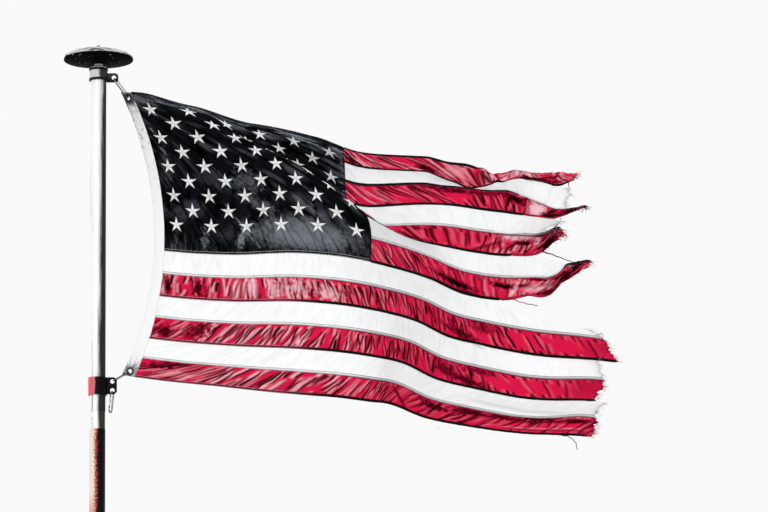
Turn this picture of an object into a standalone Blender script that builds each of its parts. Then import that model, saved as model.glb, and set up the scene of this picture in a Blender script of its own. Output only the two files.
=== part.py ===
"""Tattered flag on its pole top: sewn nylon panels, canvas heading, fittings and pole.

Metres, +Z up. The pole stands on the origin, the flag flies towards +X and
the side with the long fold faces -Y.
"""
import math
from collections import namedtuple

import bmesh
import bpy
import numpy as np
from mathutils import Matrix, Vector

# --- flag as sewn, laid flat -------------------------------------------------
HOIST = 0.9144
STRIPE_COUNT = 13
STRIPE = HOIST / STRIPE_COUNT
CANTON_WIDTH = 0.63
CANTON_STRIPES = 7
HEADING_WIDTH = 0.032
CLOTH_THICK = 0.001
HEADING_THICK = 0.002
SEAM_GAP = 0.0002
FLY_STEP = CANTON_WIDTH / 18
ROWS_PER_STRIPE = 3

# --- shape in the wind -------------------------------------------------------
SPINE_SEAM = 8
FINE = 10
LINE_BLEND = 0.07
KNEE_REACH = 0.08
KNEE_DROP = 0.015

Section = namedtuple("Section", "fly x y z lean top_bow knee foot_bow back front foot gather")
# fly: flat distance from the heading; x, y, z: place of the eighth seam there;
# lean: slant of the hoist threads, degrees, with top_bow and foot_bow more at
# the two hems and knee more beside the long fold (KNEE_REACH wide, KNEE_DROP
# under its line); back, front, foot: how far the cloth tips towards -Y above the
# long fold, under it and at the bottom hem; gather: share of its height the
# bottom hem loses in small puckers
SECTIONS = (
    Section(0.00, 0.186, -0.020, 0.736, 0, 25, 0, 25, 8, 2, -4, 0.18),
    Section(0.07, 0.251, -0.045, 0.724, 0, 25, 0, 20, 20, 0, -6, 0.19),
    Section(0.21, 0.381, -0.095, 0.706, -1, 20, 2, 10, 20, -5, -8, 0.19),
    Section(0.44, 0.593, -0.160, 0.693, -1, 13, 10, 4, 26, -4, 8, 0.06),
    Section(0.55, 0.703, -0.175, 0.679, -1, 6, 26, 3, 24, 0, 14, 0.03),
    Section(0.68, 0.819, -0.140, 0.662, -6, 7, 38, 3, 18, 10, 18, 0.00),
    Section(0.82, 0.933, -0.070, 0.640, -15, 7, 16, 2, 18, 14, 24, 0.00),
    Section(0.92, 1.018, -0.025, 0.607, -15, 2, 2, 0, 16, 10, 32, 0.00),
    Section(1.01, 1.104, 0.000, 0.590, -11, 0, 0, 0, 16, 8, 38, 0.00),
    Section(1.14, 1.232, 0.010, 0.566, -9, 0, 0, 0, 18, 6, 48, 0.00),
    Section(1.28, 1.360, -0.020, 0.544, -9, 0, 0, 0, 22, 6, 56, 0.00),
    Section(1.42, 1.486, -0.070, 0.514, -9, 0, 0, 0, 22, 6, 60, 0.00),
)

Fold = namedtuple("Fold", "from_fly from_drop to_fly to_drop reach tilt grow fade")
# a crease running between two flat points, tipping the cloth by tilt degrees
LONG_FOLD = Fold(0.03, 0.014, 1.02, 0.467, 0.056, 65, 0.33, 0.38)
FOLDS = (
    LONG_FOLD,
    Fold(0.55, 0.060, 1.30, 0.12, 0.060, 36, 0.26, 0.15),
    Fold(0.00, 0.000, 0.80, 0.00, 0.045, 30, 0.16, 0.22),
    Fold(0.83, 0.030, 1.00, 0.04, 0.034, -52, 0.06, 0.05),
    Fold(0.83, 0.110, 1.01, 0.11, 0.042, 48, 0.06, 0.05),
    Fold(0.98, 0.040, 1.30, 0.05, 0.030, 44, 0.06, 0.05),
    Fold(0.99, 0.115, 1.30, 0.12, 0.045, -62, 0.07, 0.05),
)

Streamer = namedtuple("Streamer", "first last loose end lift sway twist")
# stripes first to last hang together past loose and reach end; lift and sway
# move that end by metres, twist turns it by degrees
STREAMERS = (
    Streamer(1, 2, 0.94, 1.24, 0.010, 0.035, -5),
    Streamer(3, 4, 0.96, 1.24, 0.018, -0.035, -40),
    Streamer(5, 6, 0.98, 1.24, 0.058, 0.020, -12),
    Streamer(7, 7, 0.98, 1.32, 0.085, -0.035, 30),
    Streamer(8, 13, 1.20, 1.42, 0.000, -0.020, 0),
)

Reach = namedtuple("Reach", "top bottom torn_from torn")
# flat fly length left at each stripe's top and bottom edge; torn is the share
# of its upper edge lost between torn_from and the end
REACHES = (
    Reach(1.20, 1.17, 0.86, 0.62),
    Reach(1.18, 1.14, 1.30, 0.0),
    Reach(1.24, 1.19, 1.30, 0.0),
    Reach(1.16, 1.12, 1.30, 0.0),
    Reach(1.20, 1.21, 1.30, 0.0),
    Reach(1.22, 1.15, 1.30, 0.0),
    Reach(1.28, 1.16, 1.30, 0.0),
    Reach(1.32, 1.36, 0.95, 0.65),
    Reach(1.37, 1.41, 1.30, 0.0),
    Reach(1.36, 1.38, 1.30, 0.0),
    Reach(1.39, 1.37, 1.30, 0.0),
    Reach(1.40, 1.37, 1.30, 0.0),
    Reach(1.39, 1.37, 1.30, 0.0),
)


def eased(share):
    share = np.clip(share, 0, 1)
    return share * share * (3 - 2 * share)


def column(name, fly):
    """One column of SECTIONS at any fly, through the rows as a smooth cubic."""
    at = np.array([row.fly for row in SECTIONS])
    value = np.array([getattr(row, name) for row in SECTIONS], float)
    step = np.diff(at)
    chord = np.diff(value) / step
    slope = np.empty_like(value)
    slope[1:-1] = (chord[:-1] * step[1:] + chord[1:] * step[:-1]) / (step[1:] + step[:-1])
    slope[0], slope[-1] = chord[0], chord[-1]
    i = np.clip(np.searchsorted(at, fly) - 1, 0, len(step) - 1)
    t = (fly - at[i]) / step[i]
    s = np.clip(t, 0, 1)
    curve = ((1 + 2 * s) * (1 - s) ** 2 * value[i] + s * (1 - s) ** 2 * step[i] * slope[i]
             + s * s * (3 - 2 * s) * value[i + 1] + s * s * (s - 1) * step[i] * slope[i + 1])
    return curve + (t - s) * step[i] * np.where(t < 0, slope[i], slope[i + 1])


def crease_line(fold, fly):
    share = (fly - fold.from_fly) / (fold.to_fly - fold.from_fly)
    return fold.from_drop + share * (fold.to_drop - fold.from_drop)


def cloth(fly, drop):
    """Middle of the whole cloth at flat distances fly (n) and drop (m): (n, m, 3).

    Each hoist thread is stepped down from the top edge: every step is tipped
    about the crease it lies on, so its length never changes.
    """
    fine = np.linspace(0, HOIST, STRIPE_COUNT * FINE + 1)
    across, down_to = np.asarray(fly, float)[:, None], fine[None, :]
    part = {name: column(name, across) for name in Section._fields[1:]}
    line = crease_line(LONG_FOLD, across)
    below = np.clip((down_to - line) / (HOIST - line), 0, 1)
    front = part["front"] + (part["foot"] - part["front"]) * below ** 2
    tilt = part["back"] + (front - part["back"]) * eased((down_to - line) / LINE_BLEND + 0.5)
    turn = np.zeros_like(tilt)
    weight = np.full_like(tilt, 1e-6)
    for fold in FOLDS:
        size = (fold.tilt * eased((across - fold.from_fly) / fold.grow)
                * eased((fold.to_fly - across) / fold.fade)
                * np.exp(-((down_to - crease_line(fold, across)) / fold.reach) ** 2))
        tilt = tilt + size
        turn += abs(size) * math.atan2(fold.to_drop - fold.from_drop, fold.to_fly - fold.from_fly)
        weight += abs(size)
    turn = (turn / weight)[..., None]
    tilt = np.radians(tilt)[..., None]
    from_middle = 1 - 2 * down_to / HOIST
    bow = np.where(from_middle > 0, part["top_bow"], part["foot_bow"]) * from_middle
    knee = part["knee"] * np.exp(-((down_to - line - KNEE_DROP) / KNEE_REACH) ** 2)
    slant = np.radians(part["lean"] + bow + knee)
    downward = np.stack([np.sin(slant), 0 * slant, -np.cos(slant)], -1)
    along = np.stack([np.cos(slant), 0 * slant, np.sin(slant)], -1)
    facing = np.array([0.0, -1.0, 0.0])
    c, s = np.cos(turn), np.sin(turn)
    step = ((c * c * np.cos(tilt) + s * s) * downward + s * c * (1 - np.cos(tilt)) * along
            + c * np.sin(tilt) * facing)
    stride = fine[1]
    step *= (1 - part["gather"] * below ** 2)[..., None]
    run = np.cumsum(0.5 * (step[:, 1:] + step[:, :-1]) * stride, 1)
    run = np.concatenate([np.zeros_like(run[:, :1]), run], 1)
    spine = np.stack([part["x"], part["y"], part["z"]], -1)
    points = spine + run - run[:, SPINE_SEAM * FINE, None]
    drop = np.asarray(drop, float)
    i = np.clip((drop / stride).astype(int), 0, len(fine) - 2)
    t = (drop / stride - i)[None, :, None]
    return points[:, i] * (1 - t) + points[:, i + 1] * t


def loosened(stripe, fly, points):
    """Moves points (n, 3) of a stripe with the streamer it belongs to."""
    for part in STREAMERS:
        if not part.first <= stripe <= part.last:
            continue
        amount = eased((fly - part.loose) / (part.end - part.loose))[:, None]
        middle = [0.5 * (part.first - 1 + part.last) * STRIPE]
        centre = cloth(fly, middle)[:, 0]
        axis = cloth(fly + 0.01, middle)[:, 0] - cloth(fly - 0.01, middle)[:, 0]
        axis /= np.linalg.norm(axis, axis=1, keepdims=True)
        arm = points - centre
        angle = np.radians(part.twist) * amount
        arm = (arm * np.cos(angle) + np.cross(axis, arm) * np.sin(angle)
               + axis * np.sum(axis * arm, 1, keepdims=True) * (1 - np.cos(angle)))
        return centre + arm + amount * np.array([0.0, part.sway, part.lift])
    return points


def stations(start, reach):
    """Flat stations shared by every panel, so that neighbours' facets line up."""
    count = int(round((reach - start) / FLY_STEP))
    return start + FLY_STEP * np.arange(1, count)


def stripe_points(number):
    """Rows of points (rows, n, 3) of one stripe, from its inner to its torn end."""
    reach = REACHES[number - 1]
    start = CANTON_WIDTH if number <= CANTON_STRIPES else 0.0
    inner = stations(start, min(reach.top, reach.bottom))
    rows = []
    for row in range(ROWS_PER_STRIPE + 1):
        share = row / ROWS_PER_STRIPE
        end = reach.top + (reach.bottom - reach.top) * share
        fly = np.concatenate([[start + SEAM_GAP], inner, [end]])
        lost = reach.torn * eased((fly - reach.torn_from) / 0.37) ** 0.7
        drop = (number - 1 + lost + (1 - lost) * share) * STRIPE + SEAM_GAP * (1 - 2 * share)
        points = np.array([cloth(fly[k:k + 1], drop[k:k + 1])[0, 0] for k in range(len(fly))])
        rows.append(loosened(number, fly, points))
    return np.array(rows)


def canton_points():
    fly = np.concatenate([[SEAM_GAP], stations(0.0, CANTON_WIDTH), [CANTON_WIDTH - SEAM_GAP]])
    drop = np.linspace(0, CANTON_STRIPES * STRIPE - SEAM_GAP, CANTON_STRIPES * ROWS_PER_STRIPE + 1)
    drop[0] = SEAM_GAP
    return cloth(fly, drop).transpose(1, 0, 2)


def heading_points():
    fly = np.linspace(-HEADING_WIDTH, -SEAM_GAP, 3)
    drop = np.linspace(SEAM_GAP, HOIST - SEAM_GAP, ROWS_PER_STRIPE * STRIPE_COUNT + 1)
    return cloth(fly, drop).transpose(1, 0, 2)


# --- pole and fittings -------------------------------------------------------
POLE_RADIUS = 0.0226
POLE_WALL = 0.0024
FIT = 0.0003
LOWER_TOP = 0.2895
UPPER_FOOT = 0.3420
UPPER_TOP = 1.3440
SPIGOT = 0.060
FLOOR = 0.003
COUPLING_RADIUS = 0.0216
RING_Z = (1.3075, 1.3425)
RING_RADIUS = 0.0262
RING_EAR = (0.0572, 1.3025, 1.3295)
RING_HOLE = (0.0443, 1.3165)
BRACKET_Z = (0.3880, 0.4385)
BRACKET_RADIUS = 0.0266
BRACKET_EAR = (0.0550, 0.3910, 0.4400)
BRACKET_HOLES = ((0.0423, 0.4282), (0.0423, 0.4025))
EAR_THICK = 0.003
HOLE_RADIUS = 0.0065
DISC_RADIUS = 0.1000
DISC_RIM = 1.3690
DISC_UNDER = 1.3560
DISC_APEX = 1.3995
STUD_TOP = 1.4115
WIRE = 0.00205
LINK_HALF_WIDTH = 0.0080
SEAT = 0.0006
GROMMET_HOLE = 0.0062
GROMMET_OUTER = 0.0120
GROMMET_FLY = -0.0165
GROMMET_DROPS = (0.020, HOIST - 0.018)

Finish = namedtuple("Finish", "name colour roughness metallic")
NYLON_RED = Finish("nylon_red", (0.50, 0.02, 0.06, 1), 0.55, 0.0)
NYLON_WHITE = Finish("nylon_white", (0.80, 0.80, 0.79, 1), 0.60, 0.0)
NYLON_BLUE = Finish("nylon_blue", (0.012, 0.018, 0.05, 1), 0.50, 0.0)
CANVAS = Finish("canvas", (0.72, 0.71, 0.68, 1), 0.85, 0.0)
BRASS = Finish("brass", (0.35, 0.27, 0.13, 1), 0.35, 1.0)
SILVER = Finish("silver_tube", (0.62, 0.62, 0.62, 1), 0.35, 0.9)
STEEL = Finish("steel", (0.45, 0.45, 0.46, 1), 0.30, 1.0)
CREAM = Finish("cream_paint", (0.70, 0.62, 0.50, 1), 0.50, 0.0)
RED_PAINT = Finish("red_paint", (0.45, 0.07, 0.05, 1), 0.45, 0.0)
BLACK = Finish("black_plastic", (0.02, 0.02, 0.022, 1), 0.45, 0.0)


def clear_scene():
    for item in list(bpy.data.objects):
        bpy.data.objects.remove(item, do_unlink=True)


def folder(name):
    place = bpy.data.collections.get(name) or bpy.data.collections.new(name)
    if name not in bpy.context.scene.collection.children:
        bpy.context.scene.collection.children.link(place)
    return place


def painted(item, finish):
    surface = bpy.data.materials.get(finish.name)
    if surface is None:
        surface = bpy.data.materials.new(finish.name)
        surface.use_nodes = True
        shader = surface.node_tree.nodes["Principled BSDF"]
        shader.inputs["Base Color"].default_value = finish.colour
        shader.inputs["Roughness"].default_value = finish.roughness
        shader.inputs["Metallic"].default_value = finish.metallic
    item.data.materials.append(surface)


def add_object(name, data, finish=None):
    item = bpy.data.objects.new(name, data)
    if finish is None:
        folder("cutters").objects.link(item)
        item.hide_render = True
        item.display_type = "WIRE"
    else:
        folder("tattered_flag").objects.link(item)
        painted(item, finish)
    return item


def mesh_from(name, vertices, edges, faces):
    data = bpy.data.meshes.new(name)
    data.from_pydata([tuple(v) for v in vertices], edges, faces)
    data.update()
    return data


def add_sheet(name, points, thick, finish):
    """A sheet of cloth: the surface through rows of points, given its thickness."""
    rows, columns = points.shape[:2]
    data = bpy.data.meshes.new(name)
    grid = bmesh.new()
    bmesh.ops.create_grid(grid, x_segments=columns - 1, y_segments=rows - 1, size=1)
    for spot in grid.verts:
        column_at = round((spot.co.x + 1) / 2 * (columns - 1))
        row_at = round((1 - spot.co.y) / 2 * (rows - 1))
        spot.co = points[row_at, column_at]
    grid.to_mesh(data)
    grid.free()
    data.shade_smooth()
    item = add_object(name, data, finish)
    skin = item.modifiers.new("thickness", "SOLIDIFY")
    skin.thickness = thick
    skin.offset = 0.0
    return item


def add_turned(name, profile, finish=None, steps=48, closed=True, place=None):
    """A turned solid: the profile (radius, height) screwed once about the axis."""
    vertices = [Vector((radius, 0, height)) for radius, height in reversed(profile)]
    edges = [(k, k + 1) for k in range(len(profile) - 1)]
    if closed:
        edges.append((len(profile) - 1, 0))
    item = add_object(name, mesh_from(name, vertices, edges, []), finish)
    turn = item.modifiers.new("turn", "SCREW")
    turn.steps = turn.render_steps = steps
    turn.use_merge_vertices = True
    turn.merge_threshold = 1e-5
    if place is not None:
        item.matrix_world = place
    return item


def add_plate(name, outline, thick, finish=None):
    """A flat plate in the XZ plane, centred on Y = 0."""
    data = mesh_from(name, [Vector((x, 0, z)) for x, z in outline], [], [tuple(range(len(outline)))])
    item = add_object(name, data, finish)
    skin = item.modifiers.new("thickness", "SOLIDIFY")
    skin.thickness = thick
    skin.offset = 0.0
    return item


def cut_or_join(item, other, operation):
    step = item.modifiers.new(operation.lower(), "BOOLEAN")
    step.operation = operation
    step.solver = "EXACT"
    step.object = other


def facing(centre, normal):
    turn = Vector(normal).to_track_quat("Z", "Y").to_matrix().to_4x4()
    return Matrix.Translation(Vector(centre)) @ turn


def add_hole(item, centre, normal, radius, depth):
    rod = bmesh.new()
    bmesh.ops.create_cone(rod, cap_ends=True, segments=32, radius1=radius, radius2=radius, depth=depth)
    data = bpy.data.meshes.new(item.name + "_hole")
    rod.to_mesh(data)
    rod.free()
    tool = add_object(item.name + "_hole", data)
    tool.matrix_world = facing(centre, normal)
    cut_or_join(item, tool, "DIFFERENCE")


def cloth_frame(fly, drop):
    """Centre and unit normal of the cloth at one flat point."""
    near = 0.004
    side = cloth([fly - near, fly + near], [drop])[:, 0]
    fall = cloth([fly], [drop - near, drop + near])[0]
    normal = np.cross(side[1] - side[0], fall[1] - fall[0])
    return Vector(cloth([fly], [drop])[0, 0]), Vector(normal).normalized()


def add_grommet(name, centre, normal):
    """A rolled grommet: a tube through the heading with a rounded flange each side."""
    gap, lip, wall = HEADING_THICK / 2 + 0.0006, 0.0008, 0.0010
    half = [(GROMMET_HOLE + 0.0006, gap + lip), (GROMMET_OUTER - 0.0015, gap + lip),
            (GROMMET_OUTER, gap + 0.4 * lip), (GROMMET_OUTER, gap), (GROMMET_HOLE + wall, gap)]
    mirrored = [(radius, -height) for radius, height in reversed(half)]
    inner = [(GROMMET_HOLE, -gap - 0.5 * lip), (GROMMET_HOLE, gap + 0.5 * lip)]
    return add_turned(name, (half + mirrored + inner)[::-1], BRASS, steps=32, place=facing(centre, normal))


def add_link(name, start, end, side):
    """A snap link: a wire loop between two wire centres, its width along side."""
    along = (end - start).normalized()
    across = (side - along * side.dot(along)).normalized()
    radius = LINK_HALF_WIDTH
    steps = 10
    points = []
    for centre, sign in ((start + along * radius, -1), (end - along * radius, 1)):
        for k in range(steps + 1):
            angle = math.pi * k / steps
            points.append(centre - sign * across * radius * math.cos(angle) * -1
                          + sign * along * radius * math.sin(angle))
    data = bpy.data.curves.new(name, "CURVE")
    data.dimensions = "3D"
    data.bevel_depth = WIRE
    data.bevel_resolution = 2
    path = data.splines.new("POLY")
    path.points.add(len(points) - 1)
    for spot, point in zip(path.points, points):
        spot.co = (*point, 1)
    path.use_cyclic_u = True
    return add_object(name, data, STEEL)


def rounded_end(x_from, x_to, z_low, z_high, round_by, steps=6):
    """Outline of a lug whose two outer corners are rounded."""
    outline = [(x_from, z_high), (x_from, z_low)]
    for centre_z, first in ((z_low + round_by, -90), (z_high - round_by, 0)):
        for k in range(steps + 1):
            angle = math.radians(first + 90 * k / steps)
            outline.append((x_to - round_by + round_by * math.cos(angle),
                            centre_z + round_by * math.sin(angle)))
    return outline


def build_flag():
    add_sheet("canton", canton_points(), CLOTH_THICK, NYLON_BLUE)
    for number in range(1, STRIPE_COUNT + 1):
        finish = NYLON_RED if number % 2 else NYLON_WHITE
        add_sheet(f"stripe_{number:02d}", stripe_points(number), CLOTH_THICK, finish)
    heading = add_sheet("heading", heading_points(), HEADING_THICK, CANVAS)
    seats = []
    for name, drop in zip(("grommet_top", "grommet_bottom"), GROMMET_DROPS):
        centre, normal = cloth_frame(GROMMET_FLY, drop)
        add_hole(heading, centre, normal, GROMMET_HOLE + 0.0010 + 2 * FIT, 0.012)
        add_grommet(name, centre, normal)
        seats.append((centre, normal))
    return seats


def build_pole():
    bore = POLE_RADIUS - POLE_WALL
    add_turned("pole_lower", [(0, 0), (POLE_RADIUS, 0), (POLE_RADIUS, LOWER_TOP),
                              (bore, LOWER_TOP), (bore, FLOOR), (0, FLOOR)], CREAM, closed=False)
    add_turned("pole_upper", [(bore, UPPER_FOOT), (POLE_RADIUS, UPPER_FOOT),
                              (POLE_RADIUS, UPPER_TOP), (bore, UPPER_TOP)], SILVER)
    spigot, inside = bore - FIT, bore - 0.003
    add_turned("pole_coupling", [
        (inside, LOWER_TOP - SPIGOT), (spigot, LOWER_TOP - SPIGOT), (spigot, LOWER_TOP + FIT),
        (COUPLING_RADIUS, LOWER_TOP + FIT), (COUPLING_RADIUS, UPPER_FOOT - FIT),
        (spigot, UPPER_FOOT - FIT), (spigot, UPPER_FOOT + SPIGOT), (inside, UPPER_FOOT + SPIGOT)], STEEL)


def build_cap():
    bore = POLE_RADIUS - POLE_WALL
    add_turned("cap_hub", [
        (0, UPPER_TOP - 0.045), (bore - FIT, UPPER_TOP - 0.045), (bore - FIT, UPPER_TOP + FIT),
        (POLE_RADIUS, UPPER_TOP + FIT), (POLE_RADIUS, UPPER_TOP + 0.0025),
        (0.0115, UPPER_TOP + 0.0045), (0.0105, UPPER_TOP + 0.009), (0.0115, DISC_UNDER - FIT),
        (0, DISC_UNDER - FIT)], STEEL, closed=False)
    dome = [(DISC_RADIUS * math.sin(math.radians(a)),
             DISC_RIM + 0.004 + (DISC_APEX - DISC_RIM - 0.004) * math.cos(math.radians(a)))
            for a in range(78, 0, -13)]
    add_turned("cap", [(0, DISC_UNDER), (0.014, DISC_UNDER), (0.050, DISC_UNDER + 0.003),
                       (0.085, DISC_UNDER + 0.0085), (DISC_RADIUS - 0.001, DISC_RIM - 0.0015),
                       (DISC_RADIUS, DISC_RIM), (DISC_RADIUS, DISC_RIM + 0.003),
                       *dome, (0, DISC_APEX)], BLACK, steps=64, closed=False)
    add_turned("cap_stud", [(0, DISC_APEX + FIT), (0.0075, DISC_APEX + FIT), (0.0075, STUD_TOP - 0.003),
                            (0.005, STUD_TOP), (0, STUD_TOP)], STEEL, steps=24, closed=False)


def build_fittings():
    inner = POLE_RADIUS + FIT
    low, high = RING_Z
    ring = add_turned("ring_top", [
        (inner, low), (RING_RADIUS + 0.0012, low), (RING_RADIUS + 0.0012, low + 0.005),
        (RING_RADIUS, low + 0.007), (RING_RADIUS, high - 0.007), (RING_RADIUS + 0.0012, high - 0.005),
        (RING_RADIUS + 0.0012, high), (inner, high)], BLACK)
    reach, ear_low, ear_high = RING_EAR
    ear = add_plate("ring_ear", rounded_end(inner + 0.001, reach, ear_low, ear_high, 0.010), EAR_THICK)
    cut_or_join(ring, ear, "UNION")
    add_hole(ring, (RING_HOLE[0], 0, RING_HOLE[1]), (0, 1, 0), HOLE_RADIUS, 0.02)

    low, high = BRACKET_Z
    band = add_turned("bracket_low", [(inner, low), (BRACKET_RADIUS, low), (BRACKET_RADIUS, high),
                                      (inner, high)], RED_PAINT)
    reach, ear_low, ear_high = BRACKET_EAR
    cut = 0.007
    outline = [(inner + 0.001, ear_high), (inner + 0.001, ear_low), (reach - cut, ear_low),
               (reach, ear_low + cut), (reach, ear_high - cut), (reach - cut, ear_high)]
    lug = add_plate("bracket_ear", outline, EAR_THICK)
    cut_or_join(band, lug, "UNION")
    for x, z in BRACKET_HOLES:
        add_hole(band, (x, 0, z), (0, 1, 0), HOLE_RADIUS, 0.02)


def build_links(seats):
    ear_slack = HOLE_RADIUS - WIRE - SEAT
    eye_slack = GROMMET_HOLE - WIRE - 2 * SEAT
    pairs = (("link_top", RING_HOLE, seats[0], 0.4), ("link_bottom", BRACKET_HOLES[0], seats[1], 0.2))
    for name, (x, z), (eye, normal), turn in pairs:
        hole = Vector((x, 0, z))
        pull = (eye - hole).normalized()
        plate_pull = Vector((pull.x, 0, pull.z)).normalized()
        eye_pull = (pull - normal * pull.dot(normal)).normalized()
        square = normal if normal.y > 0 else -normal
        side = Vector((0, 1, 0)) + square + pull.cross(square).normalized() * turn
        add_link(name, hole + plate_pull * ear_slack, eye - eye_pull * eye_slack, side)
    x, z = BRACKET_HOLES[1]
    start = Vector((x, 0, z - ear_slack))
    hang = Vector((-0.10, -0.03, -1)).normalized()
    add_link("link_spare", start, start + hang * 0.0605, Vector((0.5, 1, 0)))


def main():
    clear_scene()
    seats = build_flag()
    build_pole()
    build_cap()
    build_fittings()
    build_links(seats)


main()
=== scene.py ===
"""Tattered sewn flag on its pole top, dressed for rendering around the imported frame.

Everything is in metres with +Z up. The pole stands on the origin, the flag
flies towards +X and its long fold shows on the -Y side.
"""
from __future__ import annotations

import logging
import math
from collections.abc import Callable, Sequence
from dataclasses import dataclass, field, fields
from enum import Enum
from functools import partial

import bpy
import numpy as np
from mathutils import Matrix, Vector


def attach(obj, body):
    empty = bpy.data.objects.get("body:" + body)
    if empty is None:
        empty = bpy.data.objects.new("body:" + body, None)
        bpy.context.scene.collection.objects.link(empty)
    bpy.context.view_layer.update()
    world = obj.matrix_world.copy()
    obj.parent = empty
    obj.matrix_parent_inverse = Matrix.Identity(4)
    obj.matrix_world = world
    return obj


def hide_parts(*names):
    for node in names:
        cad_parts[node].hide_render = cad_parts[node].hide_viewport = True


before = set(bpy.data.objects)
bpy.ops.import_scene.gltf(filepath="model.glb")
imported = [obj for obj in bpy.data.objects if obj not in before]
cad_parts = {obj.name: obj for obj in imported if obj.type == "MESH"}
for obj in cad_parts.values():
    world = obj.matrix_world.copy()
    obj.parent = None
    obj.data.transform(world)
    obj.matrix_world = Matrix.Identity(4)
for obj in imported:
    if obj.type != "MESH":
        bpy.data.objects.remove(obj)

LOG = logging.getLogger("tattered_flag")
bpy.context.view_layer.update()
BODY = "root"


# --- small maths ---------------------------------------------------------------
def eased(share: np.ndarray | float) -> np.ndarray:
    """3s^2 - 2s^3 with s held between 0 and 1."""
    share = np.clip(share, 0.0, 1.0)
    return share * share * (3.0 - 2.0 * share)


def unit(vectors: np.ndarray) -> np.ndarray:
    """Vectors (..., 3) divided by their length."""
    return vectors / np.maximum(np.linalg.norm(vectors, axis=-1, keepdims=True), 1e-12)


def turned(arm: np.ndarray, axis: np.ndarray, angle: np.ndarray) -> np.ndarray:
    """Rotates each arm about its unit axis.

    Rodrigues: arm*cos + (axis x arm)*sin + axis*(axis.arm)*(1 - cos).

    Args:
        arm: vectors (..., 3).
        axis: unit axes (..., 3).
        angle: radians (...).

    Returns:
        The turned vectors (..., 3).
    """
    c, s = np.cos(angle)[..., None], np.sin(angle)[..., None]
    along = np.sum(axis * arm, -1, keepdims=True)
    return arm * c + np.cross(axis, arm) * s + axis * along * (1.0 - c)


def scattered(x: np.ndarray, y: np.ndarray, seed: int) -> np.ndarray:
    """A number from 0 to 1 for each whole-numbered pair, always the same one."""
    x, y = x.astype(np.int64), y.astype(np.int64)
    mixed = (x * 374761393 + y * 668265263 + seed * 974634777) & 0xFFFFFFFF
    mixed = ((mixed ^ (mixed >> 13)) * 1274126177) & 0xFFFFFFFF
    return ((mixed ^ (mixed >> 16)) & 0xFFFFFF) / float(0x1000000)


def rolling(x: np.ndarray, y: np.ndarray, seed: int) -> np.ndarray:
    """Gradient noise about -1 to 1: zero at whole numbers, smooth between.

    Each corner of a unit cell holds a random direction; the value is the
    blend of direction . offset over the four corners by 6s^5 - 15s^4 + 10s^3.

    Args:
        x, y: coordinates of any one shape, in cells.
        seed: picks the pattern.

    Returns:
        The noise, shaped as x and y together.
    """
    x, y = paired(x, y)
    i, j = np.floor(x), np.floor(y)
    s, t = x - i, y - j
    blend_s, blend_t = (v * v * v * (v * (v * 6 - 15) + 10) for v in (s, t))
    total = np.zeros(x.shape)
    for di in (0, 1):
        for dj in (0, 1):
            angle = 2 * math.pi * scattered(i + di, j + dj, seed)
            value = np.cos(angle) * (s - di) + np.sin(angle) * (t - dj)
            total += value * (blend_s if di else 1 - blend_s) * (blend_t if dj else 1 - blend_t)
    return total * 1.5


def paired(fly: object, drop: object) -> tuple[np.ndarray, np.ndarray]:
    """Flat places as two arrays of one shape."""
    fly, drop = np.broadcast_arrays(np.asarray(fly, float), np.asarray(drop, float))
    return fly, drop


def bell(distance: np.ndarray, width: float | np.ndarray) -> np.ndarray:
    """exp(-(distance/width)^2)."""
    return np.exp(-(distance / width) ** 2)


def table(kind: type, *rows: tuple) -> tuple:
    """One kind for each row of its values."""
    return tuple(kind(*row) for row in rows)


def values(rows: Sequence, name: str) -> list[float]:
    """One column of a table."""
    return [getattr(row, name) for row in rows]


def curve_through(at: Sequence[float], value: Sequence[float], where: np.ndarray,
                  held: bool = False) -> np.ndarray:
    """A smooth cubic through (at, value), straight past both ends, or level there if held.

    Args:
        at: rising places of the knots.
        value: the value at each.
        where: places to read, of any shape.
        held: whether to level off at the ends.

    Returns:
        The values there.
    """
    at, value = np.asarray(at, float), np.asarray(value, float)
    step = np.diff(at)
    chord = np.diff(value) / step
    slope = np.zeros_like(value)
    slope[1:-1] = (chord[:-1] * step[1:] + chord[1:] * step[:-1]) / (step[1:] + step[:-1])
    if not held:
        slope[0], slope[-1] = chord[0], chord[-1]
    i = np.clip(np.searchsorted(at, where) - 1, 0, len(step) - 1)
    t = (where - at[i]) / step[i]
    s = np.clip(t, 0, 1)
    curve = ((1 + 2 * s) * (1 - s) ** 2 * value[i] + s * (1 - s) ** 2 * step[i] * slope[i]
             + s * s * (3 - 2 * s) * value[i + 1] + s * s * (s - 1) * step[i] * slope[i + 1])
    return curve + (t - s) * step[i] * np.where(t < 0, slope[i], slope[i + 1])


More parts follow.
